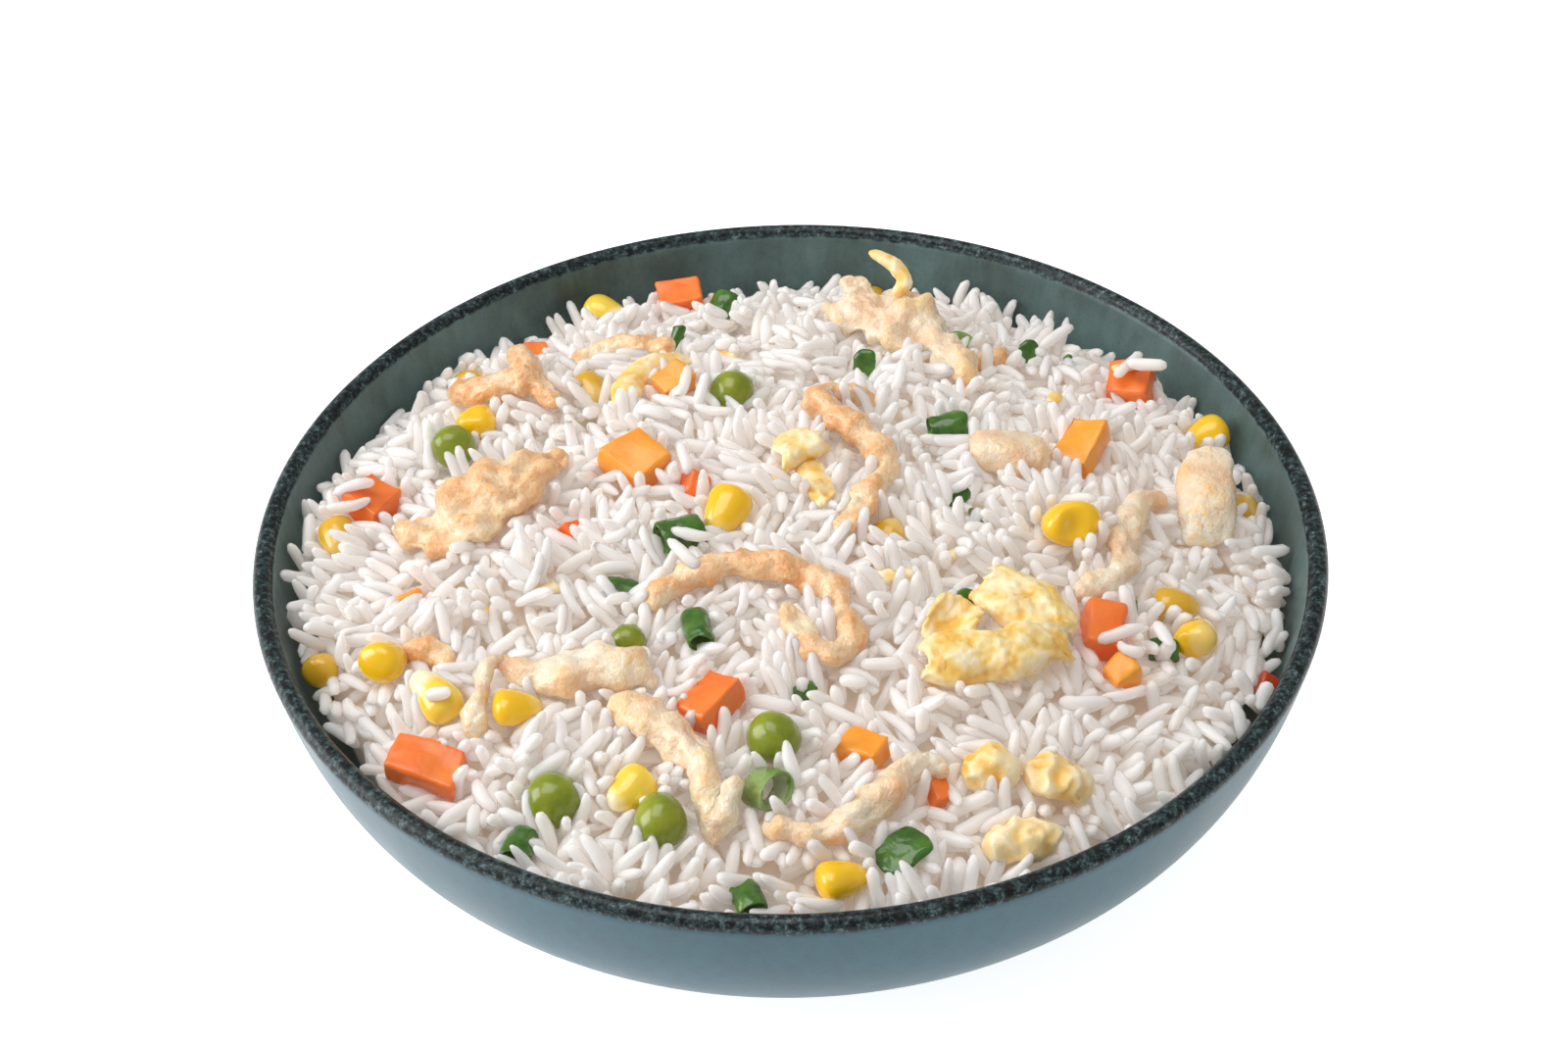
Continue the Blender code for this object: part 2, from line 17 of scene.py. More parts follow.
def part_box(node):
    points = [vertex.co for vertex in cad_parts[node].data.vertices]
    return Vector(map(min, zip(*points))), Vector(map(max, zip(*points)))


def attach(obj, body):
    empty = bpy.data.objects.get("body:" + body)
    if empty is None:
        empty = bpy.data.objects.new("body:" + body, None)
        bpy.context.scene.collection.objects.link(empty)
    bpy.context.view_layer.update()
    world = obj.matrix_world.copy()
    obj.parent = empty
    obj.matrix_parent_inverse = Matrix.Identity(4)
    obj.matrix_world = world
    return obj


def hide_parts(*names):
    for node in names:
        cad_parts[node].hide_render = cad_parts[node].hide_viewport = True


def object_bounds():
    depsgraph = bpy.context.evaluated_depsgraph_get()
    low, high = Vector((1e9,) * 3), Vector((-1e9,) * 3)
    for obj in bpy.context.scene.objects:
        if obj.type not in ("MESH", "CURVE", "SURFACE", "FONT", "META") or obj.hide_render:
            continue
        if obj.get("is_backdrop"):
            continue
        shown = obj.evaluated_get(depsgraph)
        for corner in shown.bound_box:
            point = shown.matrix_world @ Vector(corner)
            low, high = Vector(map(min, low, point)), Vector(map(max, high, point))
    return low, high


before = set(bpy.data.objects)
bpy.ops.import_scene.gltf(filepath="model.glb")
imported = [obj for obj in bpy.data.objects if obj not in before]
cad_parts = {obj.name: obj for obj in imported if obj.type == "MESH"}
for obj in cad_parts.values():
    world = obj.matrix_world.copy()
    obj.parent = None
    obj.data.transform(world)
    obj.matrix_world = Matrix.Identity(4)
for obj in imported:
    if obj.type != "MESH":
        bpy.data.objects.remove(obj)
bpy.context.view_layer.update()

# ---- The deep plate ---------------------------------------------------------------
# One turned piece of stoneware on a low foot ring. It is dipped in a grey-teal glaze
# that runs thin on the lip, where it burns to a speckled black, and streaks inside.
MM = 0.001
PLATE_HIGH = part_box("deep_plate")[1] / MM
RIM_RADIUS = PLATE_HIGH.x
RIM_HEIGHT = PLATE_HIGH.z
LIP_THICKNESS = 3.6
WELL_THICKNESS = 4.4
LEAN_AT_LIP = 8.8  # degrees
TURN_DOWN_WALL = 73.3  # degrees
WALL_ARC = 47.0
FOOT_RADIUS = 58.5
FOOT_WIDTH = 4.5
FOOT_RECESS = 3.4
PLATE_SIDES = 192
WALL_STEPS = 30
LIP_STEPS = 9


def wall_point(arc):
    """(radius, height, lean) on the wall's outside, this far down its arc."""
    radius, height = RIM_RADIUS, RIM_HEIGHT - LIP_THICKNESS / 2
    steps = 40
    for i in range(steps):
        share = (i + 0.5) * arc / steps / WALL_ARC
        lean = math.radians(LEAN_AT_LIP + TURN_DOWN_WALL * share**2)
        radius -= arc / steps * math.sin(lean)
        height -= arc / steps * math.cos(lean)
    return radius, height, math.radians(LEAN_AT_LIP + TURN_DOWN_WALL * (arc / WALL_ARC) ** 2)


def inside_of_wall(arc):
    radius, height, lean = wall_point(arc)
    thickness = LIP_THICKNESS + (WELL_THICKNESS - LIP_THICKNESS) * arc / WALL_ARC
    return radius - thickness * math.cos(lean), height + thickness * math.sin(lean)


def linked(material, kind, **settings):
    """A new shader node with its settings."""
    node = material.node_tree.nodes.new(kind)
    for name, value in settings.items():
        setattr(node, name, value)
    return node


def wire(tree, source, target):
    tree.links.new(source, target)


def mottle_group():
    """The shader group behind every mottled surface: noise, and two colours blended by it."""
    group = bpy.data.node_groups.new("mottle", "ShaderNodeTree")
    plain = (("Scale", 100.0), ("Detail", 4.0), ("Roughness", 0.55), ("From", 0.3), ("To", 0.7))
    for label in ("Position", "Squeeze"):
        group.interface.new_socket(label, in_out="INPUT", socket_type="NodeSocketVector")
    for label, value in plain:
        socket = group.interface.new_socket(label, in_out="INPUT", socket_type="NodeSocketFloat")
        socket.default_value = value
    for label in ("Dark", "Light"):
        group.interface.new_socket(label, in_out="INPUT", socket_type="NodeSocketColor")
    group.interface.new_socket("Mask", in_out="OUTPUT", socket_type="NodeSocketFloat")
    group.interface.new_socket("Colour", in_out="OUTPUT", socket_type="NodeSocketColor")
    given = group.nodes.new("NodeGroupInput").outputs
    result = group.nodes.new("NodeGroupOutput").inputs
    place = group.nodes.new("ShaderNodeMapping")
    ripples = group.nodes.new("ShaderNodeTexNoise")
    spread = group.nodes.new("ShaderNodeMapRange")
    blend = group.nodes.new("ShaderNodeMixRGB")
    for source, target in (
        (given["Position"], place.inputs["Vector"]), (given["Squeeze"], place.inputs["Scale"]),
        (place.outputs["Vector"], ripples.inputs["Vector"]), (given["Scale"], ripples.inputs["Scale"]),
        (given["Detail"], ripples.inputs["Detail"]), (given["Roughness"], ripples.inputs["Roughness"]),
        (ripples.outputs["Fac"], spread.inputs["Value"]), (given["From"], spread.inputs["From Min"]),
        (given["To"], spread.inputs["From Max"]), (spread.outputs["Result"], blend.inputs["Fac"]),
        (given["Dark"], blend.inputs["Color1"]), (given["Light"], blend.inputs["Color2"]),
        (ripples.outputs["Fac"], result["Mask"]), (blend.outputs["Color"], result["Colour"]),
    ):
        group.links.new(source, target)
    return group


MOTTLE = mottle_group()


def mottled(material, position, scale, detail=4.0, rough=0.55, squeeze=(1, 1, 1), tones=None):
    """Places the mottle group. Scale is in ripples per metre; tones are (from, dark, to, light)."""
    made = linked(material, "ShaderNodeGroup", node_tree=MOTTLE)
    settings = {"Scale": scale, "Detail": detail, "Roughness": rough, "Squeeze": squeeze}
    if tones:
        settings |= {"From": tones[0], "Dark": (*tones[1], 1), "To": tones[2], "Light": (*tones[3], 1)}
    for label, value in settings.items():
        made.inputs[label].default_value = value
    wire(material.node_tree, position, made.inputs["Position"])
    return made.outputs


def texture_noise(*place):
    return mottled(*place)["Mask"]


def ramp(material, factor, stops):
    """A colour ramp with stops of (place, (r, g, b))."""
    made = linked(material, "ShaderNodeValToRGB")
    points = made.color_ramp.elements
    while len(points) < len(stops):
        points.new(0.5)
    for point, (place, colour) in zip(points, stops):
        point.position = place
        point.color = (*colour, 1.0)
    wire(material.node_tree, factor, made.inputs["Fac"])
    return made.outputs["Color"]


def mixed(material, factor, first, second, blend="MIX"):
    """Two colours mixed by a factor. Each may be a socket or plain numbers."""
    made = linked(material, "ShaderNodeMix", data_type="RGBA", blend_type=blend)
    for socket, value in (("Factor", factor), ("A", first), ("B", second)):
        into = [s for s in made.inputs if s.name == socket and s.enabled][0]
        if isinstance(value, bpy.types.NodeSocket):
            wire(material.node_tree, value, into)
        elif socket == "Factor":
            into.default_value = value
        else:
            into.default_value = (*value, 1.0)
    return [s for s in made.outputs if s.enabled][0]


def sums(material, operation, first, second, third=None, clamp=False):
    """A Math node. Each operand may be a socket or a number."""
    made = linked(material, "ShaderNodeMath", operation=operation, use_clamp=clamp)
    for into, value in zip(made.inputs, (first, second, third)):
        if isinstance(value, bpy.types.NodeSocket):
            wire(material.node_tree, value, into)
        elif value is not None:
            into.default_value = value
    return made.outputs[0]


def bumped(material, height, strength, distance):
    """Plugs a height into the shader's normal. Distance is in metres."""
    made = linked(material, "ShaderNodeBump")
    made.inputs["Strength"].default_value = strength
    made.inputs["Distance"].default_value = distance
    wire(material.node_tree, height, made.inputs["Height"])
    wire(material.node_tree, made.outputs["Normal"], shader_of(material).inputs["Normal"])


def shader_of(material):
    return material.node_tree.nodes["Principled BSDF"]


def coloured(material, colour):
    wire(material.node_tree, colour, shader_of(material).inputs["Base Color"])


def new_material(name, **sockets):
    """A Principled material with these plain socket values, and its object coordinates."""
    material = bpy.data.materials.new(name)
    material.use_nodes = True
    for socket, value in sockets.items():
        shader_of(material).inputs[socket.replace("_", " ")].default_value = value
    position = linked(material, "ShaderNodeTexCoord").outputs["Object"]
    return material, position


def add_piece(name, bm, material, replaced=()):
    """Makes a finished piece of a bmesh in millimetres, riding on the one body."""
    bmesh.ops.scale(bm, vec=(MM, MM, MM), verts=bm.verts)
    mesh = bpy.data.meshes.new(name)
    bm.to_mesh(mesh)
    bm.free()
    mesh.shade_smooth()
    piece = bpy.data.objects.new(name, mesh)
    bpy.context.scene.collection.objects.link(piece)
    materials = material if isinstance(material, (list, tuple)) else [material]
    for one in materials:
        mesh.materials.append(one)
    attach(piece, "root")
    if replaced:
        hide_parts(*replaced)
    return piece


def glaze(name, rim_depth, streak, deep, pale, edge_wander):
    """Stoneware glaze: mottled, streaked down the wall, and burnt black at the lip."""
    material, position = new_material(name, Roughness=0.35, Specular_IOR_Level=0.22, Coat_Weight=0.06)
    clouds = texture_noise(material, position, 55, 6, 0.6)
    streaks = texture_noise(material, position, 420, 4, 0.6, (1, 1, streak))
    specks = texture_noise(material, position, 1500, 2, 0.7)
    body = ramp(material, clouds, [(0.3, deep), (0.68, pale)])
    dark_streaks = ramp(material, streaks, [(0.3, (0.55, 0.58, 0.6)), (0.62, (1.0, 1.0, 1.0))])
    body = mixed(material, 0.35, body, dark_streaks, "MULTIPLY")
    grain = ramp(material, specks, [(0.32, (0.6, 0.62, 0.66)), (0.5, (1, 1, 1))])
    body = mixed(material, 0.3, body, grain, "MULTIPLY")
    apart = linked(material, "ShaderNodeSeparateXYZ")
    wire(material.node_tree, position, apart.inputs["Vector"])
    from_top = sums(material, "SUBTRACT", RIM_HEIGHT * MM, apart.outputs["Z"])
    wander = sums(material, "SUBTRACT", streaks, 0.5)
    wander = sums(material, "MULTIPLY", wander, edge_wander * MM)
    from_top = sums(material, "ADD", from_top, wander)
    burnt = sums(material, "DIVIDE", from_top, rim_depth * MM)
    burnt = sums(material, "SUBTRACT", 1.35, burnt, clamp=True)
    burnt = sums(material, "MULTIPLY", burnt, 2.4, clamp=True)
    flecks = ramp(
        material, texture_noise(material, position, 900, 5, 0.75),
        [(0.44, (0.004, 0.005, 0.006)), (0.56, (0.03, 0.055, 0.06)), (0.7, (0.16, 0.22, 0.23))],
    )
    colour = mixed(material, burnt, body, flecks)
    coloured(material, colour)
    sheen = ramp(material, clouds, [(0.3, (0.3, 0.3, 0.3)), (0.7, (0.42, 0.42, 0.42))])
    wire(material.node_tree, sheen, shader_of(material).inputs["Roughness"])
    bumped(material, specks, 0.12, 0.0002)
    return material


plate_outside = glaze("glaze_outside", 1.7, 0.5, (0.02, 0.078, 0.108), (0.032, 0.104, 0.142), 1.2)
plate_inside = glaze("glaze_inside", 1.5, 0.12, (0.07, 0.1, 0.093), (0.13, 0.215, 0.215), 1.6)

profile = [
    (0.0, FOOT_RECESS),
    (FOOT_RADIUS - FOOT_WIDTH - 2.0, FOOT_RECESS),
    (FOOT_RADIUS - FOOT_WIDTH - 0.9, FOOT_RECESS - 0.25),
    (FOOT_RADIUS - FOOT_WIDTH - 0.3, 0.6),
    (FOOT_RADIUS - FOOT_WIDTH + 0.3, 0.0),
    (FOOT_RADIUS - 0.5, 0.0),
    (FOOT_RADIUS + 0.1, 0.6),
    (FOOT_RADIUS + 0.8, FOOT_RECESS - 0.3),
    (FOOT_RADIUS + 2.2, FOOT_RECESS + 0.2),
]
profile += [wall_point(WALL_ARC * (1 - i / WALL_STEPS))[:2] for i in range(WALL_STEPS + 1)]
lip_lean, lip_half = math.radians(LEAN_AT_LIP), LIP_THICKNESS / 2
lip_middle = (RIM_RADIUS - lip_half * math.cos(lip_lean), RIM_HEIGHT - lip_half)
for i in range(1, LIP_STEPS + 1):
    turn = math.pi * i / (LIP_STEPS + 1)
    profile.append(
        (lip_middle[0] + lip_half * math.cos(turn), lip_middle[1] + lip_half * math.sin(turn))
    )
inner_wall = [inside_of_wall(WALL_ARC * i / WALL_STEPS) for i in range(WALL_STEPS + 1)]
well_height = inner_wall[-1][1]
profile += inner_wall + [(50.0, well_height - 0.3), (0.0, well_height - 0.4)]


def turned(outline, steps):
    """A solid turned round the plate's axis from an outline of (radius, height)."""
    bm = bmesh.new()
    points = [bm.verts.new((r, 0.0, h)) for r, h in outline]
    edges = [bm.edges.new(pair) for pair in zip(points, points[1:])]
    bmesh.ops.spin(
        bm, geom=points + edges, axis=(0, 0, 1), cent=(0, 0, 0),
        angle=2 * math.pi, steps=steps, use_merge=True,
    )
    bmesh.ops.remove_doubles(bm, verts=bm.verts, dist=0.0005)
    bmesh.ops.recalc_face_normals(bm, faces=bm.faces)
    return bm


bm = turned(profile, PLATE_SIDES)
for face in bm.faces:
    middle = face.calc_center_median()
    outwards = face.normal.x * middle.x + face.normal.y * middle.y
    inner = outwards < 0 or (face.normal.z > 0.2 and middle.z < RIM_HEIGHT - LIP_THICKNESS)
    face.material_index = int(inner)
add_piece("glazed_plate", bm, [plate_outside, plate_inside], ["deep_plate"])

# ---- Chicken ----------------------------------------------------------------------
# Thin strips of breast, tossed in starch and fried pale: soft and fibrous, a little
# browned on the ridges, with a glistening bumpy skin. Each keeps its strip's form.


def cad_copy(name):
    """The CAD node's mesh in millimetres, its loose triangles merged into quads."""
    bm = bmesh.new()
    bm.from_mesh(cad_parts[name].data)
    bmesh.ops.scale(bm, vec=(1 / MM, 1 / MM, 1 / MM), verts=bm.verts)
    bmesh.ops.remove_doubles(bm, verts=bm.verts, dist=0.005)
    bmesh.ops.join_triangles(
        bm, faces=bm.faces, angle_face_threshold=math.pi, angle_shape_threshold=math.pi
    )
    return bm


def smoothed(bm, levels, thickness=0.0):
    """The mesh with a thickness, if any, and that many levels of Catmull-Clark subdivision."""
    cage = bpy.data.meshes.new("cage")
    bm.to_mesh(cage)
    bm.free()
    holder = bpy.data.objects.new("cage", cage)
    bpy.context.scene.collection.objects.link(holder)
    if thickness:
        solid = holder.modifiers.new("solid", "SOLIDIFY")
        solid.thickness = thickness
        solid.offset = 0.0
    finer = holder.modifiers.new("finer", "SUBSURF")
    finer.levels = finer.render_levels = levels
    bpy.context.view_layer.update()
    fine = bmesh.new()
    fine.from_object(holder, bpy.context.evaluated_depsgraph_get())
    bpy.data.objects.remove(holder)
    bpy.data.meshes.remove(cage)
    return fine


def ripple(point, size, seed):
    """Smooth noise from -1 to 1, with ripples of this size."""
    return noise.noise(point / size + Vector((seed, 2 * seed, -seed)))


def ridge(point, size, seed):
    """Creased noise from -1 to 1, sharp along its crests."""
    return 1 - 4 * abs(noise.noise(point / size + Vector((seed, -seed, 3 * seed))))


def roughened(bm, swell, layers, seed):
    """Pushes each vertex along its normal: swell, then layers of (form, size, depth).

    The push beyond the swell is kept in the layer called relief, as -1 to 1.
    """
    bm.normal_update()
    relief = bm.verts.layers.float.new("relief")
    most = sum(depth for _, _, depth in layers)
    pushes = []
    for vert in bm.verts:
        push = sum(depth * form(vert.co, size, seed) for form, size, depth in layers)
        vert[relief] = push / most
        pushes.append(vert.normal * (swell + push))
    for vert, push in zip(bm.verts, pushes):
        vert.co += push
    return bm


def attribute(material, name):
    return linked(material, "ShaderNodeAttribute", attribute_name=name).outputs["Fac"]


def chicken_flesh(name, deep, middle, pale, fried):
    """Chicken with three flesh colours and a fried colour on its crests."""
    material, position = new_material(
        name, Roughness=0.36, Subsurface_Weight=0.45, Subsurface_Scale=0.0025,
        Subsurface_Radius=(1.0, 0.6, 0.42), Coat_Weight=0.7, Coat_Roughness=0.1,
    )
    broad = texture_noise(material, position, 110, 5, 0.6)
    fine = texture_noise(material, position, 800, 4, 0.6)
    flesh = ramp(material, broad, [(0.36, deep), (0.48, middle), (0.62, pale)])
    crest = sums(material, "ADD", attribute(material, "relief"), sums(material, "MULTIPLY", fine, 1.2))
    browned = ramp(material, sums(material, "MULTIPLY", crest, broad), [(0.3, (1, 1, 1)), (0.52, fried)])
    colour = mixed(material, 0.85, flesh, browned, "MULTIPLY")
    coloured(material, colour)
    skin = texture_noise(material, position, 1300, 3, 0.65)
    bumped(material, sums(material, "ADD", skin, fine), 0.7, 0.0008)
    return material


PALE_CHICKEN = chicken_flesh(
    "pale_chicken", (0.92, 0.6, 0.37), (0.98, 0.76, 0.54), (1.0, 0.89, 0.74), (1.0, 0.78, 0.46)
)
GOLD_CHICKEN = chicken_flesh(
    "gold_chicken", (0.82, 0.42, 0.16), (0.94, 0.62, 0.34), (1.0, 0.81, 0.57), (0.92, 0.58, 0.26)
)
SLABS = ("chicken_07", "chicken_09")
SLAB_CORNERS = 0.62


def boxier(bm, corners):
    """Fills out a rounded cage towards the corners of its own box."""
    points = [v.co for v in bm.verts]
    low = Vector([min(p[i] for p in points) for i in range(3)])
    high = Vector([max(p[i] for p in points) for i in range(3)])
    for vert in bm.verts:
        for i in range(3):
            half = (high[i] - low[i]) / 2
            out = (vert.co[i] - low[i]) / half - 1
            vert.co[i] = low[i] + half * (1 + math.copysign(abs(out) ** corners, out))
    return bm


GOLD_STRIPS = ("chicken_01", "chicken_02", "chicken_03", "chicken_05", "chicken_06")
PALE_RELIEF = ((ripple, 7.0, 1.5), (ripple, 3.6, 1.1), (ripple, 1.8, 0.42), (ripple, 0.9, 0.18))
GOLD_RELIEF = ((ripple, 6.5, 1.5), (ripple, 3.4, 1.3), (ripple, 1.6, 0.5), (ripple, 0.8, 0.22))
CRAGGY_RELIEF = ((ripple, 7.0, 2.6), (ripple, 3.6, 2.0), (ripple, 1.8, 0.75), (ripple, 0.8, 0.25))
SLAB_RELIEF = ((ripple, 7.0, 0.6), (ripple, 3.0, 0.4), (ripple, 1.5, 0.2), (ripple, 0.8, 0.1))
CRAGGY_STRIPS = ("chicken_03", "chicken_04")
STRIP_SWELL = 0.45
toppings = []
for name in sorted(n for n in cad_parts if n.startswith("chicken")):
    seed = 1.37 * int(name[-2:])
    golden = name in GOLD_STRIPS
    cage = boxier(cad_copy(name), SLAB_CORNERS) if name in SLABS else cad_copy(name)
    relief = GOLD_RELIEF if golden else PALE_RELIEF
    if name in SLABS:
        relief = SLAB_RELIEF
    elif name in CRAGGY_STRIPS:
        relief = CRAGGY_RELIEF
    strip = roughened(smoothed(cage, 3), 0.0 if name in SLABS else STRIP_SWELL, relief, seed)
    flesh = GOLD_CHICKEN if golden else PALE_CHICKEN
    toppings.append(add_piece(name + "_strip", strip, flesh, [name]))

# ---- Egg --------------------------------------------------------------------------
# Egg fried in a thin layer and torn up: folded, ragged sheets and curds, pale where
# they are thick, deeper yellow in the folds, with small browned spots.


def egg_curd():
    material, position = new_material(
        "fried_egg", Roughness=0.42, Subsurface_Weight=0.35, Subsurface_Scale=0.002,
        Subsurface_Radius=(1.0, 0.6, 0.25), Coat_Weight=0.3, Coat_Roughness=0.2,
    )
    broad = texture_noise(material, position, 110, 5, 0.6)
    fine = texture_noise(material, position, 900, 4, 0.6)
    height = sums(material, "ADD", attribute(material, "relief"), sums(material, "MULTIPLY", broad, 1.2))
    yolk = ramp(
        material, height,
        [(0.2, (0.93, 0.54, 0.1)), (0.55, (0.97, 0.7, 0.29)), (0.95, (1.0, 0.84, 0.57))],
    )
    scorched = texture_noise(material, position, 260, 3, 0.7)
    spots = ramp(material, scorched, [(0.66, (1, 1, 1)), (0.76, (0.72, 0.42, 0.16))])
    colour = mixed(material, 0.8, yolk, spots, "MULTIPLY")
    coloured(material, colour)
    bumped(material, fine, 0.45, 0.0005)
    return material


EGG_CELL = 0.9
EGG_THICKNESS = 1.3
TORN_FROM = 0.8
TORN_DEPTH = 0.24


def egg_sheet(length, width, curl, ruffle, seed):
    """A torn sheet about its own middle, curled this many degrees across its width."""
    bm = bmesh.new()
    cells = [max(int(size / EGG_CELL), 4) for size in (length, width)]
    bmesh.ops.create_grid(bm, x_segments=cells[0], y_segments=cells[1], size=1.0)
    torn = []
    for vert in bm.verts:
        outward = (abs(vert.co.x) ** 3 + abs(vert.co.y) ** 3) ** (1 / 3)
        if outward > TORN_FROM + TORN_DEPTH * (1 + ripple(vert.co * 3.0, 1.0, seed)) / 2:
            torn.append(vert)
    bmesh.ops.delete(bm, geom=torn, context="VERTS")
    bmesh.ops.delete(bm, geom=[v for v in bm.verts if not v.link_faces], context="VERTS")
    radius = width / math.radians(abs(curl))
    for vert in bm.verts:
        u, w = vert.co.x * length / 2, vert.co.y * width / 2
        frill = 0.35 + vert.co.x**2 + vert.co.y**2
        lift = ruffle * frill * ripple(Vector((u, w, 0.0)), 4.5, seed)
        lift += 0.35 * ridge(Vector((0.35 * u, w, 0.0)), 2.6, seed)
        turn = w / radius
        height = (radius + lift) * math.cos(turn) - radius
        vert.co = (
            u + 0.9 * ripple(Vector((w, u, 5.0)), 5.0, seed),
            (radius + lift) * math.sin(turn),
            math.copysign(1.0, curl) * height,
        )
    return smoothed(bm, 2, EGG_THICKNESS)


def eased(bm, times):
    """Softens a mesh in place, that many times."""
    for _ in range(times):
        bmesh.ops.smooth_vert(
            bm, verts=bm.verts, factor=0.5, use_axis_x=True, use_axis_y=True, use_axis_z=True
        )


def egg_fold(length, path, ruffle, seed):
    """A torn sheet folded along a path of (y, z) points, its length lying along x."""
    bm = bmesh.new()
    turns = np.array(path)
    reached = np.concatenate(([0.0], np.cumsum(np.hypot(*np.diff(turns, axis=0).T))))
    cells = [int(size / EGG_CELL) for size in (length, reached[-1])]
    bmesh.ops.create_grid(bm, x_segments=cells[0], y_segments=cells[1], size=1.0)
    torn = []
    for vert in bm.verts:
        outward = (abs(vert.co.x) ** 2.6 + abs(vert.co.y) ** 4) ** 0.3
        if outward > TORN_FROM + TORN_DEPTH * (1 + ripple(vert.co * 3.0, 1.0, seed)) / 2:
            torn.append(vert)
    bmesh.ops.delete(bm, geom=torn, context="VERTS")
    for vert in bm.verts:
        x, along = vert.co.x * length / 2, (vert.co.y + 1) / 2 * reached[-1]
        narrowing = 1 - 0.3 * abs(vert.co.x) ** 3 + 0.22 * ripple(Vector((x, 0.0, 0.0)), 6.0, seed)
        y = float(np.interp(along, reached, turns[:, 0]))
        z = float(np.interp(along, reached, turns[:, 1]))
        wave = Vector([ripple(Vector((x, along, 9.0 * n)), 6.5, seed + n) for n in range(3)])
        vert.co = Vector((x, y * narrowing, z * narrowing)) + ruffle * wave
    eased(bm, 2)
    return smoothed(bm, 2, EGG_THICKNESS)


def set_down(bm, x, y, z, yaw, pitch=0.0, roll=0.0):
    """Turns a piece about its own middle, in degrees, and puts it in its place."""
    turn = Euler([math.radians(t) for t in (roll, pitch, yaw)]).to_matrix()
    bmesh.ops.rotate(bm, matrix=turn, verts=bm.verts, cent=(0, 0, 0))
    bmesh.ops.translate(bm, vec=(x, y, z), verts=bm.verts)
    return bm


def joined(parts):
    """One bmesh of several."""
    whole = bmesh.new()
    for part in parts:
        mesh = bpy.data.meshes.new("part")
        part.to_mesh(mesh)
        part.free()
        whole.from_mesh(mesh)
        bpy.data.meshes.remove(mesh)
    return whole


CURD_RELIEF = ((ripple, 4.0, 0.9), (ridge, 3.0, 0.35), (ripple, 1.3, 0.25))
THIN_RELIEF = ((ripple, 3.0, 0.35), (ripple, 1.2, 0.18))
egg_material = egg_curd()
ROLLED_FOLD = (
    (1.0, -4.5), (-3.5, -4.2), (-6.6, -1.4), (-6.8, 2.0), (-4.2, 4.4), (-0.6, 4.4), (2.6, 2.0), (4.5, -1.0),
)
LOBE = ((-6.0, -3.0), (-3.5, 0.5), (0.0, 1.2), (3.5, 3.6), (6.0, 6.0), (8.4, 5.6), (9.0, 2.5))
SMALL_FOLD = (
    (0.5, -2.5), (-3.0, -2.0), (-4.6, 0.6), (-3.0, 2.9), (0.0, 2.4), (2.6, 1.2), (4.8, 2.2), (5.2, 0.0),
)
EGG_SHEETS = {
    "egg_1": (
        (egg_fold(33, ROLLED_FOLD, 2.4, 1.0), (35.0, -42.6, 46.4, 11)),
        (egg_fold(25, LOBE, 2.2, 7.0), (42.5, -34.0, 47.6, -30)),
        (egg_sheet(13, 12, -130, 1.0, 2.0), (28.0, -36.0, 46.2, 50, -12, 10)),
    ),
    "egg_2": (
        (egg_fold(13, SMALL_FOLD, 1.3, 5.0), (2.0, 9.5, 50.2, 25)),
        (egg_sheet(15, 8, 140, 1.0, 6.0), (5.6, 1.0, 48.6, -68, 8, 0)),
    ),
}
FURTHEST_OUT = 3.0
DEEPEST_INSIDE = 3.5


def drawn_in(bm, name):
    """Draws the sheets in towards the CAD solid, the further out the more."""
    solid = cad_copy(name)
    skin = BVHTree.FromBMesh(solid)
    for vert in bm.verts:
        nearest, normal, _, away = skin.find_nearest(vert.co)
        if away > DEEPEST_INSIDE or (vert.co - nearest).dot(normal) > 0:
            kept = FURTHEST_OUT * (1 - math.exp(-away / FURTHEST_OUT))
            vert.co = nearest + (vert.co - nearest) * kept / max(away, 1e-6)
    solid.free()
    return bm


for name in sorted(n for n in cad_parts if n.startswith("egg")):
    seed = 2.11 * int(name[-1])
    if name in EGG_SHEETS:
        folds = joined([set_down(sheet, *place) for sheet, place in EGG_SHEETS[name]])
        curd = roughened(drawn_in(folds, name), 0.0, THIN_RELIEF, seed)
    elif name in ("egg_6", "egg_7"):
        curd = roughened(smoothed(cad_copy(name), 3), 0.3, THIN_RELIEF, seed)
    else:
        curd = roughened(smoothed(cad_copy(name), 3), 0.5, CURD_RELIEF, seed)
    toppings.append(add_piece(name + "_curd", curd, egg_material, [name]))

# ---- Carrot -----------------------------------------------------------------------
# Knife-cut dice, boiled soft: flat wet faces, edges a little rounded, orange to red.


def carrot_flesh(name, core, edge):
    material, position = new_material(
        name, Roughness=0.33, Subsurface_Weight=0.12, Subsurface_Scale=0.0015,
        Subsurface_Radius=(1.0, 0.4, 0.12), Coat_Weight=0.25, Coat_Roughness=0.15,
    )
    colour = mottled(material, position, 120, 4, 0.6, tones=(0.3, core, 0.7, edge))["Colour"]
    fine = texture_noise(material, position, 1100, 3, 0.6)
    coloured(material, colour)
    bumped(material, fine, 0.3, 0.0003)
    return material


RED_CARROT = carrot_flesh("red_carrot", (0.9, 0.15, 0.015), (0.95, 0.25, 0.035))
GOLD_CARROT = carrot_flesh("gold_carrot", (0.97, 0.32, 0.015), (0.98, 0.43, 0.04))
GOLD_DICE = ("carrot_02", "carrot_03", "carrot_07", "carrot_08", "carrot_11")
CARROT_RELIEF = ((ripple, 8.0, 1.1), (ripple, 3.4, 0.3), (ripple, 1.3, 0.1))
FACE_CUTS = 7


def cut_dice(bm, seed):
    """Fills a bevelled block's faces with quads, then softens its edges."""
    bmesh.ops.subdivide_edges(bm, edges=bm.edges[:], cuts=FACE_CUTS, use_grid_fill=True)
    eased(bm, 4)
    return roughened(bm, -0.1, CARROT_RELIEF, seed)


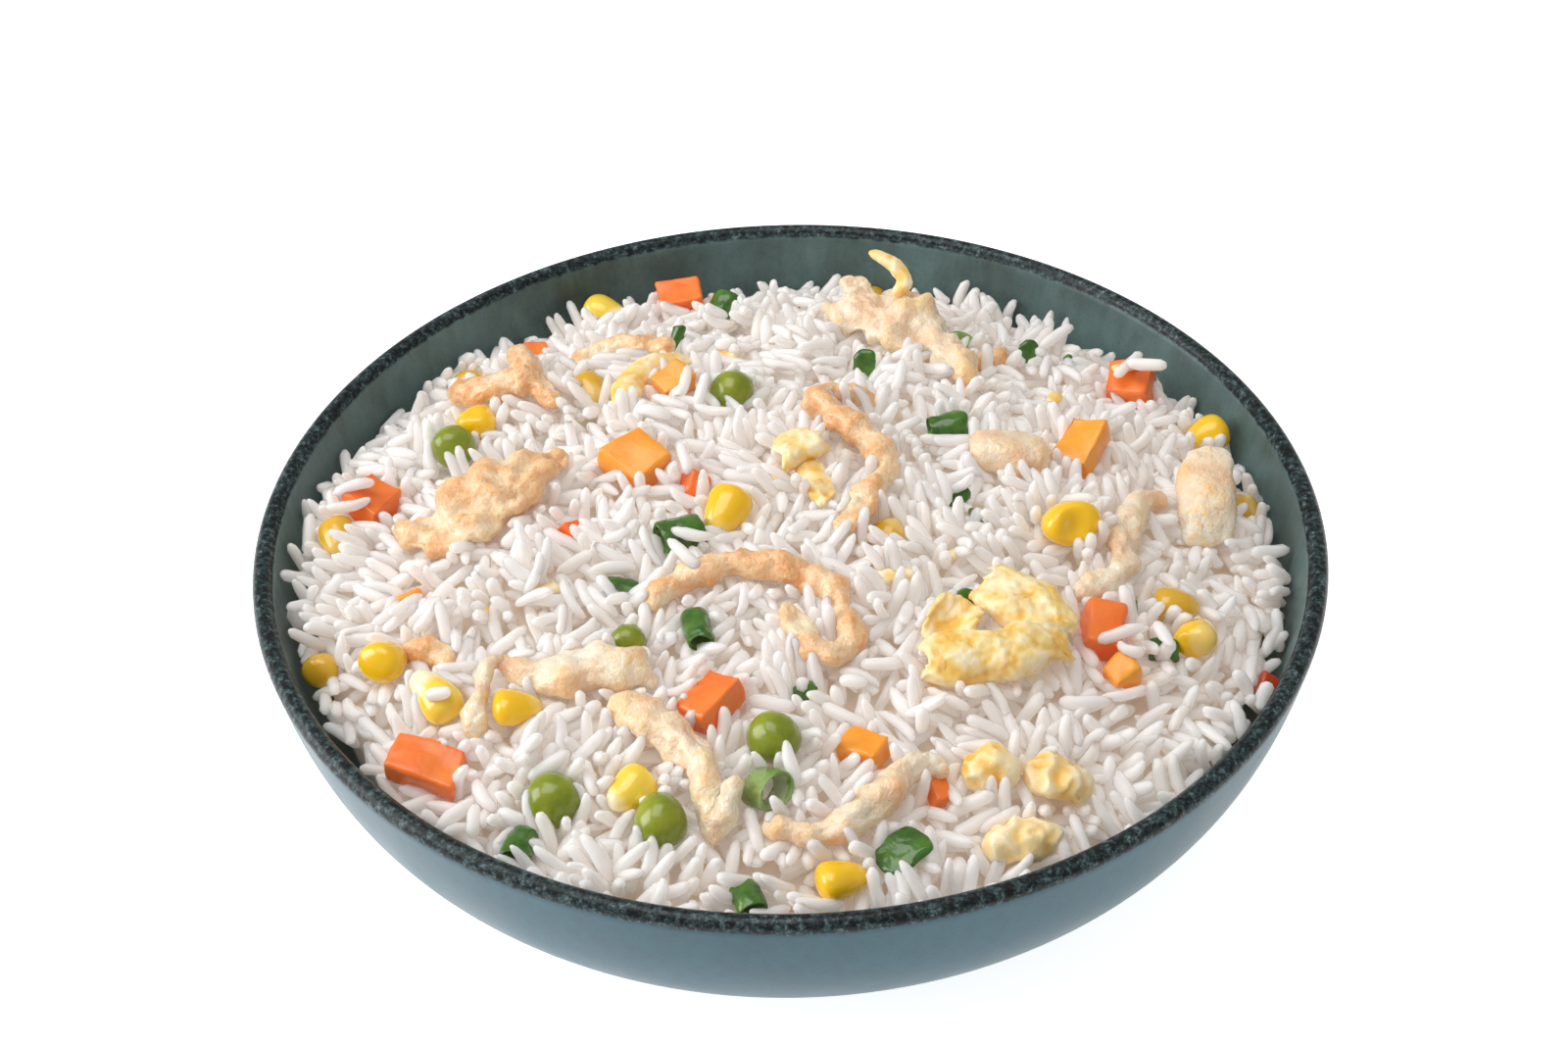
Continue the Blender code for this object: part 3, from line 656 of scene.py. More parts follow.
for name in sorted(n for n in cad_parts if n.startswith("carrot")):
    dice = cut_dice(cad_copy(name), 3.3 * int(name[-2:]))
    flesh = GOLD_CARROT if name in GOLD_DICE else RED_CARROT
    toppings.append(add_piece(name + "_dice", dice, flesh, [name]))

# ---- Corn -------------------------------------------------------------------------
# Sweetcorn kernels: a thin, tight, glossy yellow skin, broad at the crown and paler at the
# tip. Two of them have a dimple where the kernel has shrunk.


def corn_skin(name, crown, tip):
    material, position = new_material(
        name, Roughness=0.2, Subsurface_Weight=0.25, Subsurface_Scale=0.0025,
        Subsurface_Radius=(1.0, 0.6, 0.12), Coat_Weight=0.5, Coat_Roughness=0.08,
    )
    broad = texture_noise(material, position, 140, 3, 0.5)
    share = sums(material, "ADD", attribute(material, "share"), sums(material, "MULTIPLY", broad, 0.3))
    colour = ramp(material, share, [(0.2, tip), (0.42, crown)])
    coloured(material, colour)
    bumped(material, broad, 0.2, 0.0008)
    return material


YELLOW_CORN = corn_skin("yellow_corn", (0.93, 0.56, 0.004), (0.93, 0.66, 0.16))
PALE_CORN = corn_skin("pale_corn", (0.93, 0.66, 0.06), (0.95, 0.87, 0.6))
AMBER_CORN = corn_skin("amber_corn", (0.72, 0.42, 0.02), (0.8, 0.55, 0.15))
CORN_KINDS = {"corn_06": PALE_CORN, "corn_09": PALE_CORN, "corn_01": PALE_CORN,
              "corn_03": AMBER_CORN, "corn_04": AMBER_CORN, "corn_13": AMBER_CORN}
DIMPLES = {"corn_11": ((0.25, -0.3, 0.9), 2.3, 2.4), "corn_02": ((0.3, 0.0, 1.0), 0.6, 1.6)}


def kernel_from_cage(bm, seed, dimple=None):
    """A smooth kernel; share runs from the tip to the crown. The dimple is (way, depth, radius)."""
    poles = sorted(bm.verts, key=lambda v: -len(v.link_faces))[:2]
    spans = [sum(e.calc_length() for e in pole.link_edges) / len(pole.link_edges) for pole in poles]
    tip = poles[spans.index(min(spans))].co.copy()
    crown = poles[spans.index(max(spans))].co.copy()
    axis = (crown - tip).normalized()
    length = (crown - tip).length
    bm = smoothed(bm, 3)
    roughened(bm, 0.45, ((ripple, 6.0, 0.25),), seed)
    share = bm.verts.layers.float.new("share")
    for vert in bm.verts:
        along = (vert.co - tip).dot(axis)
        vert[share] = along / length
    if dimple:
        way, depth, radius = Vector(dimple[0]).normalized(), *dimple[1:]
        middle = (tip + crown) / 2
        for vert in bm.verts:
            along = (vert.co - middle).dot(way)
            off_axis = (vert.co - middle - way * along).length
            if along > 0:
                vert.co -= way * depth * math.exp(-((off_axis / radius) ** 2))
    return bm


for name in sorted(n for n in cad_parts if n.startswith("corn")):
    kernel = kernel_from_cage(cad_copy(name), 1.9 * int(name[-2:]), DIMPLES.get(name))
    skin = CORN_KINDS.get(name, YELLOW_CORN)
    toppings.append(add_piece(name + "_kernel", kernel, skin, [name]))

# ---- Peas -------------------------------------------------------------------------
# Round green peas, their skins glossy and a little dented by cooking.


def pea_skin():
    material, position = new_material(
        "pea_skin", Roughness=0.24, Subsurface_Weight=0.3, Subsurface_Scale=0.002,
        Subsurface_Radius=(0.7, 1.0, 0.15), Coat_Weight=0.3, Coat_Roughness=0.1,
    )
    greens = (0.3, (0.14, 0.205, 0.004), 0.7, (0.3, 0.34, 0.014))
    colour = mottled(material, position, 150, 4, 0.6, tones=greens)["Colour"]
    coloured(material, colour)
    bumped(material, texture_noise(material, position, 500, 4, 0.6), 0.15, 0.0006)
    return material


pea_material = pea_skin()
PEA_RELIEF = ((ripple, 6.0, 0.5), (ripple, 3.0, 0.12))
for name in sorted(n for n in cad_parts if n.startswith("pea")):
    low, high = (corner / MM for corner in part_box(name))
    bm = bmesh.new()
    bmesh.ops.create_icosphere(bm, subdivisions=5, radius=1.0)
    bmesh.ops.scale(bm, vec=(high - low) / 2 - Vector((0.1, 0.1, 0.1)), verts=bm.verts)
    bmesh.ops.translate(bm, vec=(low + high) / 2, verts=bm.verts)
    pea = roughened(bm, 0.0, PEA_RELIEF, 2.7 * int(name[-1]))
    toppings.append(add_piece(name + "_skin", pea, pea_material, [name]))

# ---- Spring onion -----------------------------------------------------------------
# Chopped green tops: hollow tubes, wet and dark outside, pale and silky within.


def onion_leaf(name, dark, bright, inner):
    material, position = new_material(
        name, Roughness=0.22, Subsurface_Weight=0.15, Subsurface_Scale=0.0015,
        Subsurface_Radius=(0.5, 1.0, 0.2), Coat_Weight=0.4, Coat_Roughness=0.1,
    )
    outer = mottled(material, position, 200, 4, 0.6, tones=(0.35, dark, 0.68, bright))["Colour"]
    colour = mixed(material, attribute(material, "inside"), outer, inner)
    coloured(material, colour)
    bumped(material, texture_noise(material, position, 900, 3, 0.5), 0.25, 0.0004)
    return material


ONION_GREEN = onion_leaf("onion_green", (0.018, 0.08, 0.004), (0.075, 0.21, 0.014), (0.25, 0.36, 0.12))
ONION_LIGHT = onion_leaf("onion_light", (0.14, 0.24, 0.045), (0.3, 0.42, 0.13), (0.5, 0.58, 0.35))
ONION_RELIEF = ((ripple, 4.0, 0.3), (ridge, 2.2, 0.12))


def leaf_from_cage(bm, levels, seed):
    """A crinkled leaf; the layer called inside is 1 where a tube's wall faces itself."""
    bm = roughened(smoothed(bm, levels), 0.1, ONION_RELIEF, seed)
    bm.normal_update()
    skin = BVHTree.FromBMesh(bm)
    inside = bm.verts.layers.float.new("inside")
    for vert in bm.verts:
        across = skin.ray_cast(vert.co + vert.normal * 0.02, vert.normal, 12.0)
        vert[inside] = float(across[0] is not None)
    return bm


for name in sorted(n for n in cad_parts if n.startswith("spring_onion")):
    leaf = leaf_from_cage(cad_copy(name), 3, 1.3 * int(name[-1]))
    look = ONION_LIGHT if name == "spring_onion_5" else ONION_GREEN
    toppings.append(add_piece(name + "_leaf", leaf, look, [name]))

# ---- Rice: the core ---------------------------------------------------------------
# Boiled long-grain rice, heaped loose. The core is the imported rice low in the heap:
# it fills the plate from the well up, and only shows between the grains. Its colours are
# painted shade, darker and warmer than the grains', so the gaps read as shadow.
CELL = 0.5
COLUMNS = int(2 * RIM_RADIUS / CELL) + 1
CORE_DEPTH = 4.6
NO_RICE = -1000.0


def column(value):
    """The index of the map's column at this x, or of its row at this y."""
    return np.rint((np.asarray(value) + RIM_RADIUS) / CELL).astype(int)


def height_map(tree, low, high, upwards=False):
    """Heights where vertical rays meet a mesh, over the map cells from low to high."""
    found = np.full((COLUMNS, COLUMNS), NO_RICE)
    first, last = column(low[:2]) - 1, column(high[:2]) + 1
    way = Vector((0, 0, 1 if upwards else -1))
    start = -10.0 if upwards else 200.0
    for i in range(max(first[0], 0), min(last[0] + 1, COLUMNS)):
        for j in range(max(first[1], 0), min(last[1] + 1, COLUMNS)):
            x, y = i * CELL - RIM_RADIUS, j * CELL - RIM_RADIUS
            hit = tree.ray_cast(Vector((x, y, start)), way)
            if hit[0] is not None:
                found[i, j] = hit[0].z
    return found


def box_blur(values, times):
    for _ in range(times):
        values = (
            values + np.roll(values, 1, 0) + np.roll(values, -1, 0)
            + np.roll(values, 1, 1) + np.roll(values, -1, 1)
        ) / 5
    return values


def widened(mask, times):
    for _ in range(times):
        mask = (
            mask | np.roll(mask, 1, 0) | np.roll(mask, -1, 0)
            | np.roll(mask, 1, 1) | np.roll(mask, -1, 1)
        )
    return mask


topping_top = np.full((COLUMNS, COLUMNS), NO_RICE)
topping_under = np.full((COLUMNS, COLUMNS), -NO_RICE)


def note_topping(piece):
    """Adds a finished topping to the maps of what lies on the rice."""
    bm = bmesh.new()
    bm.from_mesh(piece.data)
    bmesh.ops.scale(bm, vec=(1 / MM, 1 / MM, 1 / MM), verts=bm.verts)
    spots = np.array([v.co for v in bm.verts])
    tree = BVHTree.FromBMesh(bm)
    low, high = spots.min(0), spots.max(0)
    bm.free()
    top = height_map(tree, low, high)
    under = height_map(tree, low, high, upwards=True)
    np.maximum(topping_top, top, out=topping_top)
    np.minimum(topping_under, np.where(under > NO_RICE, under, -NO_RICE), out=topping_under)


for piece in toppings:
    note_topping(piece)

cad_rice = cad_copy("rice")
rice_low, rice_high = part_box("rice")
pocketed = height_map(BVHTree.FromBMesh(cad_rice), rice_low / MM, rice_high / MM)
cad_rice.free()
in_plate = pocketed > NO_RICE
covered = widened(topping_top > NO_RICE, 3)
heap = np.where(in_plate & ~covered, pocketed, 0.0)
weight = (in_plate & ~covered).astype(float)
for _ in range(60):
    spread, shares = box_blur(heap * weight, 1), box_blur(weight, 1)
    fresh = (weight == 0) & (shares > 0)
    heap = np.where(fresh, spread / np.maximum(shares, 1e-9), heap)
    weight = np.where(fresh, 1.0, weight)
heap = np.where(covered, box_blur(heap, 20), heap)


def rice_material(name, bright, shade, painted_glow):
    """Cooked rice: milky, each grain with its own tint, with a painted glow: a small warm emission stands
    in for the light scattered through the heap.
    """
    material, position = new_material(
        name, Roughness=0.24, Subsurface_Weight=1.0, Subsurface_Scale=0.005,
        Transmission_Weight=0.12, IOR=1.3,
        # painted glow: this emission lights the rice from within, in place of light scattered between the
        # grains
        Emission_Color=(*painted_glow, 1.0), Emission_Strength=0.045,
        Subsurface_Radius=(1.0, 0.93, 0.85), Coat_Weight=0.15, Coat_Roughness=0.18,
    )
    tint = attribute(material, "tint")
    colour = ramp(material, tint, [(0.0, shade), (0.35, bright), (1.0, (0.985, 0.975, 0.97))])
    coloured(material, colour)
    bumped(material, texture_noise(material, position, 1300, 3, 0.55), 0.16, 0.0003)
    return material


grain_material = rice_material("rice_grain", (0.98, 0.95, 0.92), (0.96, 0.9, 0.845), (1.0, 0.935, 0.875))
# painted shade: the core is a darker, warmer copy of the grain material, with the same painted glow
core_painted_shade = rice_material("rice_core", (0.93, 0.87, 0.8), (0.88, 0.8, 0.7), (1.0, 0.9, 0.8))

CORE_SIDES = 180
CORE_RINGS = 70
wall_heights = np.array([h for _, h in reversed(inner_wall)])
wall_radii = np.array([r for r, _ in reversed(inner_wall)])
core_edge = float(np.interp(well_height + 12, wall_heights, wall_radii)) - 0.8
core_profile = [(0.0, well_height + 0.3), (70.0, well_height + 0.3)]
core_profile += [
    (float(np.interp(h, wall_heights, wall_radii)) - 0.8, h)
    for h in np.linspace(well_height + 1, well_height + 12, 6)
]
core_profile += [(core_edge * (1 - i / CORE_RINGS), well_height + 12) for i in range(1, CORE_RINGS)]
core_profile.append((0.0, well_height + 12))
bm = turned(core_profile, CORE_SIDES)
floor_of_heap = np.where(in_plate, np.minimum(heap, np.where(covered, pocketed, heap)), heap) - CORE_DEPTH
floor_of_heap = box_blur(floor_of_heap, 6)
for vert in bm.verts:
    if vert.co.z > well_height + 11.9:
        i, j = column(vert.co.x), column(vert.co.y)
        lumps = 0.9 * ripple(vert.co.xy.to_3d(), 3.0, 4.0) + 1.1 * ripple(vert.co.xy.to_3d(), 8.0, 9.0)
        vert.co.z = floor_of_heap[i, j] + lumps
core = add_piece("rice_core", bm, core_painted_shade, ["rice"])

# ---- Scraps -----------------------------------------------------------------------
# The smallest bits of the same food, cut or torn off the bigger pieces. Most are half
# sunk in the rice. Each is shaped like the piece it came from, only smaller.


def scrap_of(name, x, y, sunk, size, yaw, pitch=0.0, roll=0.0):
    """A smaller copy of a CAD piece's cage, this deep in the heap at x, y."""
    bm = cad_copy(name)
    low, high = (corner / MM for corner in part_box(name))
    bmesh.ops.translate(bm, vec=-(low + high) / 2, verts=bm.verts)
    bmesh.ops.scale(bm, vec=size, verts=bm.verts)
    return set_down(bm, x, y, heap[column(x), column(y)] - sunk, yaw, pitch, roll)


def add_scraps(kind, looks):
    """Adds finished scraps, one piece for each."""
    for n, (bm, material) in enumerate(looks):
        piece = add_piece(f"{kind}_scrap_{n + 1}", bm, material)
        note_topping(piece)


DARK_CARROT = carrot_flesh("dark_carrot", (0.5, 0.04, 0.015), (0.62, 0.08, 0.02))
ONION_SCRAPS = (
    ("spring_onion_2", -22.6, 58.7, -1.5, (0.7, 0.45, 0.45), 60, -50, 0, ONION_GREEN),
    ("spring_onion_7", 16.0, 42.9, -2.0, (0.75, 0.6, 1.0), 40, -40, 20, ONION_GREEN),
    ("spring_onion_7", 35.8, 57.0, -1.0, (0.9, 0.7, 1.0), -10, 15, 35, ONION_LIGHT),
    ("spring_onion_7", 50.9, 53.9, -1.2, (0.7, 0.6, 1.0), 70, -40, 20, ONION_GREEN),
    ("spring_onion_6", -8.0, -88.6, -0.8, (0.95, 0.9, 0.8), 30, 0, 0, ONION_GREEN),
    ("spring_onion_6", 65.7, -36.8, -0.8, (0.8, 0.75, 0.8), 100, -30, 0, ONION_GREEN),
    ("spring_onion_7", 31.6, -27.1, 0.4, (0.6, 0.6, 1.0), 80, -60, 0, ONION_GREEN),
    ("spring_onion_7", 31.9, 0.6, 0.2, (0.5, 0.45, 1.0), 0, 0, 40, ONION_GREEN),
    ("spring_onion_7", 34.9, -6.3, 0.2, (0.55, 0.3, 1.0), 130, 0, 50, ONION_GREEN),
    ("spring_onion_3", -30.1, -21.9, 0.8, (0.8, 0.7, 0.7), 150, -20, 0, ONION_GREEN),
    ("spring_onion_7", 60.8, -27.2, 0.2, (0.6, 0.4, 1.0), 60, 0, 30, ONION_GREEN),
    ("spring_onion_7", 1.8, -48.6, 0.6, (0.55, 0.4, 1.0), 10, 0, 30, ONION_GREEN),
    ("spring_onion_7", 59.5, 54.1, 0.2, (0.55, 0.4, 1.0), 90, 0, 30, ONION_GREEN),
)
add_scraps("spring_onion", [
    (leaf_from_cage(scrap_of(*row[:-1]), 2, 1.0 + n), row[-1]) for n, row in enumerate(ONION_SCRAPS)
])
CARROT_SCRAPS = (
    ("carrot_11", -40.1, -6.0, 0.4, (0.9, 0.7, 0.9), 20, 30, 10, RED_CARROT),
    ("carrot_11", -17.8, 4.4, 0.0, (0.8, 0.9, 0.9), 50, 0, 30, RED_CARROT),
    ("carrot_11", -69.1, -20.3, 0.2, (0.9, 0.8, 0.8), 10, 20, 30, GOLD_CARROT),
    ("carrot_11", 84.1, -40.0, 0.4, (0.8, 0.8, 0.8), 40, 0, 20, DARK_CARROT),
    ("carrot_11", -52.9, 63.1, 0.2, (1.0, 0.7, 0.8), -10, 20, 0, RED_CARROT),
    ("carrot_11", 23.5, -69.3, 0.0, (0.9, 0.7, 0.8), 80, 0, 10, RED_CARROT),
)
add_scraps("carrot", [
    (cut_dice(scrap_of(*row[:-1]), 5.0 + n), row[-1]) for n, row in enumerate(CARROT_SCRAPS)
])
CORN_SCRAPS = (
    ("corn_05", -67.0, 54.0, 0.6, (0.9, 0.9, 0.9), 30, 0, 0, AMBER_CORN),
    ("corn_14", 86.2, 7.8, 1.2, (1.0, 1.0, 1.0), 60, 20, 0, AMBER_CORN),
    ("corn_05", -84.8, -31.9, 1.2, (0.8, 0.8, 0.8), 10, 0, 0, AMBER_CORN),
    ("corn_14", 17.3, -9.7, 1.4, (0.9, 0.9, 0.9), 100, 0, 0, AMBER_CORN),
    ("corn_05", 19.8, 90.1, 0.6, (0.8, 0.8, 0.8), 0, 0, 30, AMBER_CORN),
)
add_scraps("corn", [
    (kernel_from_cage(scrap_of(*row[:-1]), 8.0 + n), row[-1]) for n, row in enumerate(CORN_SCRAPS)
])
EGG_SCRAPS = (
    (5.0, 4.0, 29.9, -16.6, -1.2, 40), (9.0, 5.0, 18.2, -23.5, -1.2, 15), (7.0, 4.5, -12.3, 50.2, -1.0, 0),
    (6.0, 5.0, 53.8, 34.9, -1.4, 60), (7.5, 4.0, 69.4, 43.5, -6.5, 20), (8.0, 5.0, -44.7, -23.2, -0.6, 30),
    (5.0, 3.5, -55.0, -27.5, -1.2, 70), (6.0, 3.5, -1.5, 4.0, -1.2, -60),
)
add_scraps("egg", [
    (
        roughened(
            set_down(
                egg_sheet(long, wide, 130, 0.5, 20.0 + n), x, y, heap[column(x), column(y)] - sunk, yaw
            ),
            0.0, THIN_RELIEF, 3.0 + n,
        ),
        egg_material,
    )
    for n, (long, wide, x, y, sunk, yaw) in enumerate(EGG_SCRAPS)
])
CHICKEN_SCRAPS = (
    ("chicken_02", -64.5, -34.3, -0.6, (0.5, 0.8, 0.8), -40, 0, 0, GOLD_CHICKEN),
    ("chicken_07", 42.5, 52.0, -0.4, (0.6, 0.5, 0.6), 20, 0, 0, GOLD_CHICKEN),
)
add_scraps("chicken", [
    (roughened(smoothed(scrap_of(*row[:-1]), 3), 0.2, PALE_RELIEF, 6.0 + n), row[-1])
    for n, row in enumerate(CHICKEN_SCRAPS)
])
pea_bit = smoothed(scrap_of("pea_1", -28.9, -35.3, 0.8, (0.75, 0.75, 0.75), 0), 2)
add_scraps("pea", [(roughened(pea_bit, 0.0, PEA_RELIEF, 4.0), pea_material)])

# ---- Rice: the loose grains -------------------------------------------------------
# Each grain is 7 to 9.3 mm long, and a few are broken shorter. They are dropped one at a
# time on a map of the heap, where each rests on those below it and against the toppings.
# Near the top they stick together, some side by side in bundles, some splayed in tufts.
GRAIN_LENGTH = 8.3
GRAIN_WIDTH = 2.45
GRAIN_THICKNESS = 2.1
SINK = 0.6
YAWS = 24
TILTS = (0, 8, 16, 24, 34, 44, 54, 64, 76)
CLUMP = 1.9
seeded = random.Random(11)


def footprint(yaw, tilt):
    """(column offsets, row offsets, underside, top) of a grain lying like this."""
    half_long, half_wide, half_thick = GRAIN_LENGTH / 2, GRAIN_WIDTH / 2, GRAIN_THICKNESS / 2
    across, along = math.sin(tilt), math.cos(tilt)
    reach = (half_long * along) ** 2 + (half_thick * across) ** 2
    span = int(half_long / CELL) + 1
    i, j = np.meshgrid(range(-span, span + 1), range(-span, span + 1), indexing="ij")
    ahead = (i * math.cos(yaw) + j * math.sin(yaw)) * CELL
    aside = (-i * math.sin(yaw) + j * math.cos(yaw)) * CELL
    room = 1 - ahead**2 / reach - aside**2 / half_wide**2
    held = room > 0.02
    middle = ahead * (half_long**2 - half_thick**2) * across * along / reach
    half = half_long * half_thick / math.sqrt(reach) * np.sqrt(np.maximum(room, 0))
    return i[held], j[held], (middle - half)[held], (middle + half)[held]


PRINTS = [
    [
        (2 * math.pi * k / YAWS, math.radians(t), footprint(2 * math.pi * k / YAWS, math.radians(t)))
        for k in range(YAWS)
    ]
    for t in TILTS
]


def lying(yaw, tilt):
    """The nearest ready-made footprint to this yaw and tilt, in radians."""
    row = min(range(len(TILTS)), key=lambda n: abs(TILTS[n] - math.degrees(abs(tilt))))
    if tilt < 0:
        yaw += math.pi
    return PRINTS[row][round(yaw / (2 * math.pi) * YAWS) % YAWS]


clumps = np.zeros((COLUMNS, COLUMNS))
for i in range(COLUMNS):
    for j in range(COLUMNS):
        if in_plate[i, j]:
            spot = Vector((i * CELL, j * CELL, 0.0))
            clumps[i, j] = CLUMP * ripple(spot, 11.0, 2.0) + 0.7 * CLUMP * ripple(spot, 5.0, 6.0)
interior = ~widened(~(topping_top > NO_RICE), 3)
heaped_beside = 0.7 * (widened(interior, 8) & ~interior)
middle_limit = np.where(in_plate, heap + clumps + heaped_beside, NO_RICE)
ceiling = np.where(interior, topping_under + 0.3, -NO_RICE)
surface = np.where(in_plate, floor_of_heap + 1.0, NO_RICE)
grains = []


def rest_height(x, y, place, sink=SINK):
    """Height of the grain's middle when it rests on the map at x, y."""
    i, j, under, _ = place[2]
    here = surface[column(x) + i, column(y) + j]
    return float((here - under).max()) - sink


def lay(x, y, z, place):
    i, j, _, top = place[2]
    cells = (column(x) + i, column(y) + j)
    surface[cells] = np.maximum(surface[cells], z + top)
    grains.append((x, y, z, place[0], place[1]))


def fits(x, y, z, place, below):
    """True if the grain keeps below the heap's top, the toppings and the plate's lip."""
    i, j, under, top = place[2]
    cells = (column(x) + i, column(y) + j)
    if z > middle_limit[column(x), column(y)] - below or (z + top > ceiling[cells]).any():
        return False
    away = np.hypot(x + i * CELL, y + j * CELL).max()
    return away < np.interp(z - 1.0, wall_heights, wall_radii) - 0.2


def drop_best(x, y, places, below, sink=SINK):
    """Lays the grain whichever way lets it rest lowest. False if it doesn't fit."""
    settled = [(rest_height(x, y, place, sink), n) for n, place in enumerate(places)]
    z, best = min(settled)
    if not fits(x, y, z, places[best], below):
        return False
    lay(x, y, z, places[best])
    return True


def anywhere():
    angle, away = seeded.uniform(0, 2 * math.pi), reach * math.sqrt(seeded.random())
    return away * math.cos(angle), away * math.sin(angle)


def any_way(steepest):
    """A footprint with any yaw, and any tilt up to the steepest row of TILTS."""
    return PRINTS[seeded.randrange(steepest)][seeded.randrange(YAWS)]


reach = float(wall_radii.max()) - 2
BED_TRIES = 22000
BED_BELOW = 2.2
for _ in range(BED_TRIES):
    x, y = anywhere()
    if middle_limit[column(x), column(y)] - surface[column(x), column(y)] > BED_BELOW:
        drop_best(x, y, [any_way(5) for _ in range(3)], BED_BELOW)

PATCH_COUNT = 400
LOWEST_PATCH = -1.6
HIGHEST_PATCH = 2.2
TUFT_RISE = 1.5
PATCHES = []
for _ in range(PATCH_COUNT):
    x, y = anywhere()
    kind = seeded.choice(("bundle", "bundle", "tuft", "mixed", "mixed"))
    yaw, tilt = seeded.uniform(0, 2 * math.pi), math.radians(seeded.uniform(0, 65))
    rise = seeded.uniform(LOWEST_PATCH, HIGHEST_PATCH) + (TUFT_RISE if kind == "tuft" else 0)
    PATCHES.append((x, y, kind, yaw, tilt, rise))
TALL_TUFTS = (
    (-46.0, -22.0, 3.6), (-29.5, -24.5, 1.8), (25.8, -13.5, 2.4), (76.9, -20.0, 1.6), (-35.0, -10.0, 1.6),
)
PATCHES += [(x, y, "tuft", 0.0, 0.0, rise) for x, y, rise in TALL_TUFTS]
patch_spots = np.array([(x, y) for x, y, *_ in PATCHES])


def patch_way(x, y):
    """A footprint that suits the patch of grains at x, y, and how far the patch rises."""
    near = int(np.argmin(((patch_spots - (x, y)) ** 2).sum(1)))
    middle_x, middle_y, kind, yaw, tilt, rise = PATCHES[near]
    if kind == "bundle":
        return lying(yaw + seeded.gauss(0, 0.22), tilt + seeded.gauss(0, 0.2)), rise
    if kind == "tuft":
        outward = math.atan2(y - middle_y, x - middle_x)
        return lying(outward + seeded.gauss(0, 0.3), math.radians(seeded.uniform(30, 76))), rise
    return any_way(len(TILTS)), rise


LOOSE_TRIES = 70000
for _ in range(LOOSE_TRIES):
    x, y = anywhere()
    if middle_limit[column(x), column(y)] > surface[column(x), column(y)] - 3.0:
        way, rise = patch_way(x, y)
        drop_best(x, y, [way], -rise, SINK + 0.35)

FILLER_TRIES = 9000
HOLLOW = 0.7
holes = []
for turn in range(FILLER_TRIES):
    if turn % 500 == 0:
        low_spots = in_plate & (surface < box_blur(surface, 12) - HOLLOW) & (surface < middle_limit)
        holes = np.argwhere(low_spots & ~interior)
    i, j = holes[seeded.randrange(len(holes))]
    x, y = i * CELL - RIM_RADIUS, j * CELL - RIM_RADIUS
    drop_best(x, y, [any_way(len(TILTS)) for _ in range(8)], -0.4, SINK + 0.5)

# Grains that lean on the toppings' sides and lie over their edges.
LEANING_TRIES = 360
PEEP_OVER = 0.3
HIGHEST_LEAN = 1.6
surface = np.where(interior, np.maximum(surface, topping_top), surface)
deep_inside = ~widened(~interior, 3)
ceiling = np.where(deep_inside, NO_RICE, -NO_RICE)
beside_top = np.where(interior, topping_top, NO_RICE)
for _ in range(6):
    for turn in (1, -1):
        for axis in (0, 1):
            beside_top = np.maximum(beside_top, np.roll(beside_top, turn, axis))
middle_limit = np.maximum(middle_limit, np.minimum(beside_top, heap + HIGHEST_LEAN))
middle_limit = np.where(in_plate, middle_limit, NO_RICE)
beside = np.argwhere(widened(interior, 5) & ~interior & in_plate)
for _ in range(LEANING_TRIES):
    i, j = beside[seeded.randrange(len(beside))]
    x, y = i * CELL - RIM_RADIUS, j * CELL - RIM_RADIUS
    drop_best(x, y, [any_way(7) for _ in range(4)], -PEEP_OVER, SINK)
# Single grains that lie across a piece of food: (x, y, yaw, tilt), the angles in degrees.
ACROSS_FOOD = (
    (-19.6, 8.0, -71, -20), (-20.2, 33.0, -112, -14), (-17.6, -14.6, -15, 4), (-19.0, -21.0, -46, -16),
    (-83.6, 4.0, 21, 0), (-83.0, 7.6, 17, 8), (-64.1, -66.6, 33, 0), (57.5, -38.0, 18, 8),
    (58.5, -42.0, -24, 0), (-60.5, -48.8, -15, 24), (64.8, -39.0, -73, 8), (69.8, 43.0, 40, 8),
    (73.0, 40.5, -30, 16), (-14.4, 24.9, -20, 0), (-16.6, 29.6, 82, 16), (23.0, 20.5, 20, 24),
)
ceiling = np.full_like(ceiling, -NO_RICE)
for x, y, yaw, tilt in ACROSS_FOOD:
    way = lying(math.radians(yaw), math.radians(tilt))
    lay(x, y, rest_height(x, y, way, SINK), way)


DENTED = 0.3


def grain_form(bend, blunt, pinch, seed):
    """One grain of unit length along x, as points and faces. The seed sets its dents."""
    bm = bmesh.new()
    bmesh.ops.create_uvsphere(bm, u_segments=8, v_segments=7, radius=0.5)
    bmesh.ops.rotate(bm, matrix=Matrix.Rotation(math.pi / 2, 3, "Y"), verts=bm.verts, cent=(0, 0, 0))
    for vert in bm.verts:
        x = vert.co.x * 2
        along = x * (1.28 - 0.28 * x * x)
        ring = math.hypot(vert.co.y, vert.co.z)
        girth = max(1 - abs(along) ** blunt, 0.0) ** 0.5 * (1 - pinch * along) / 2
        swell = girth / ring if ring > 1e-4 else 1.0
        swell *= 1 + DENTED * ripple(Vector((along * 1.6, vert.co.y * 2, vert.co.z * 2)), 1.0, seed)
        vert.co = (along / 2, vert.co.y * swell, vert.co.z * swell + bend * (along * along - 0.3))
    points = np.array([v.co for v in bm.verts])
    faces = [[v.index for v in face.verts] for face in bm.faces]
    bm.free()
    return points, faces


forms = [
    grain_form(*shape, 3.7 * n)
    for n, shape in enumerate((
        (0.0, 4.0, 0.1), (0.28, 4.4, 0.0), (-0.2, 3.4, 0.16), (0.42, 4.0, 0.1), (0.1, 6.0, 0.05),
        (-0.35, 4.0, -0.08), (0.15, 3.0, 0.2), (0.0, 7.0, 0.0), (0.3, 3.6, -0.12), (0.5, 4.6, 0.1),
    ))
]


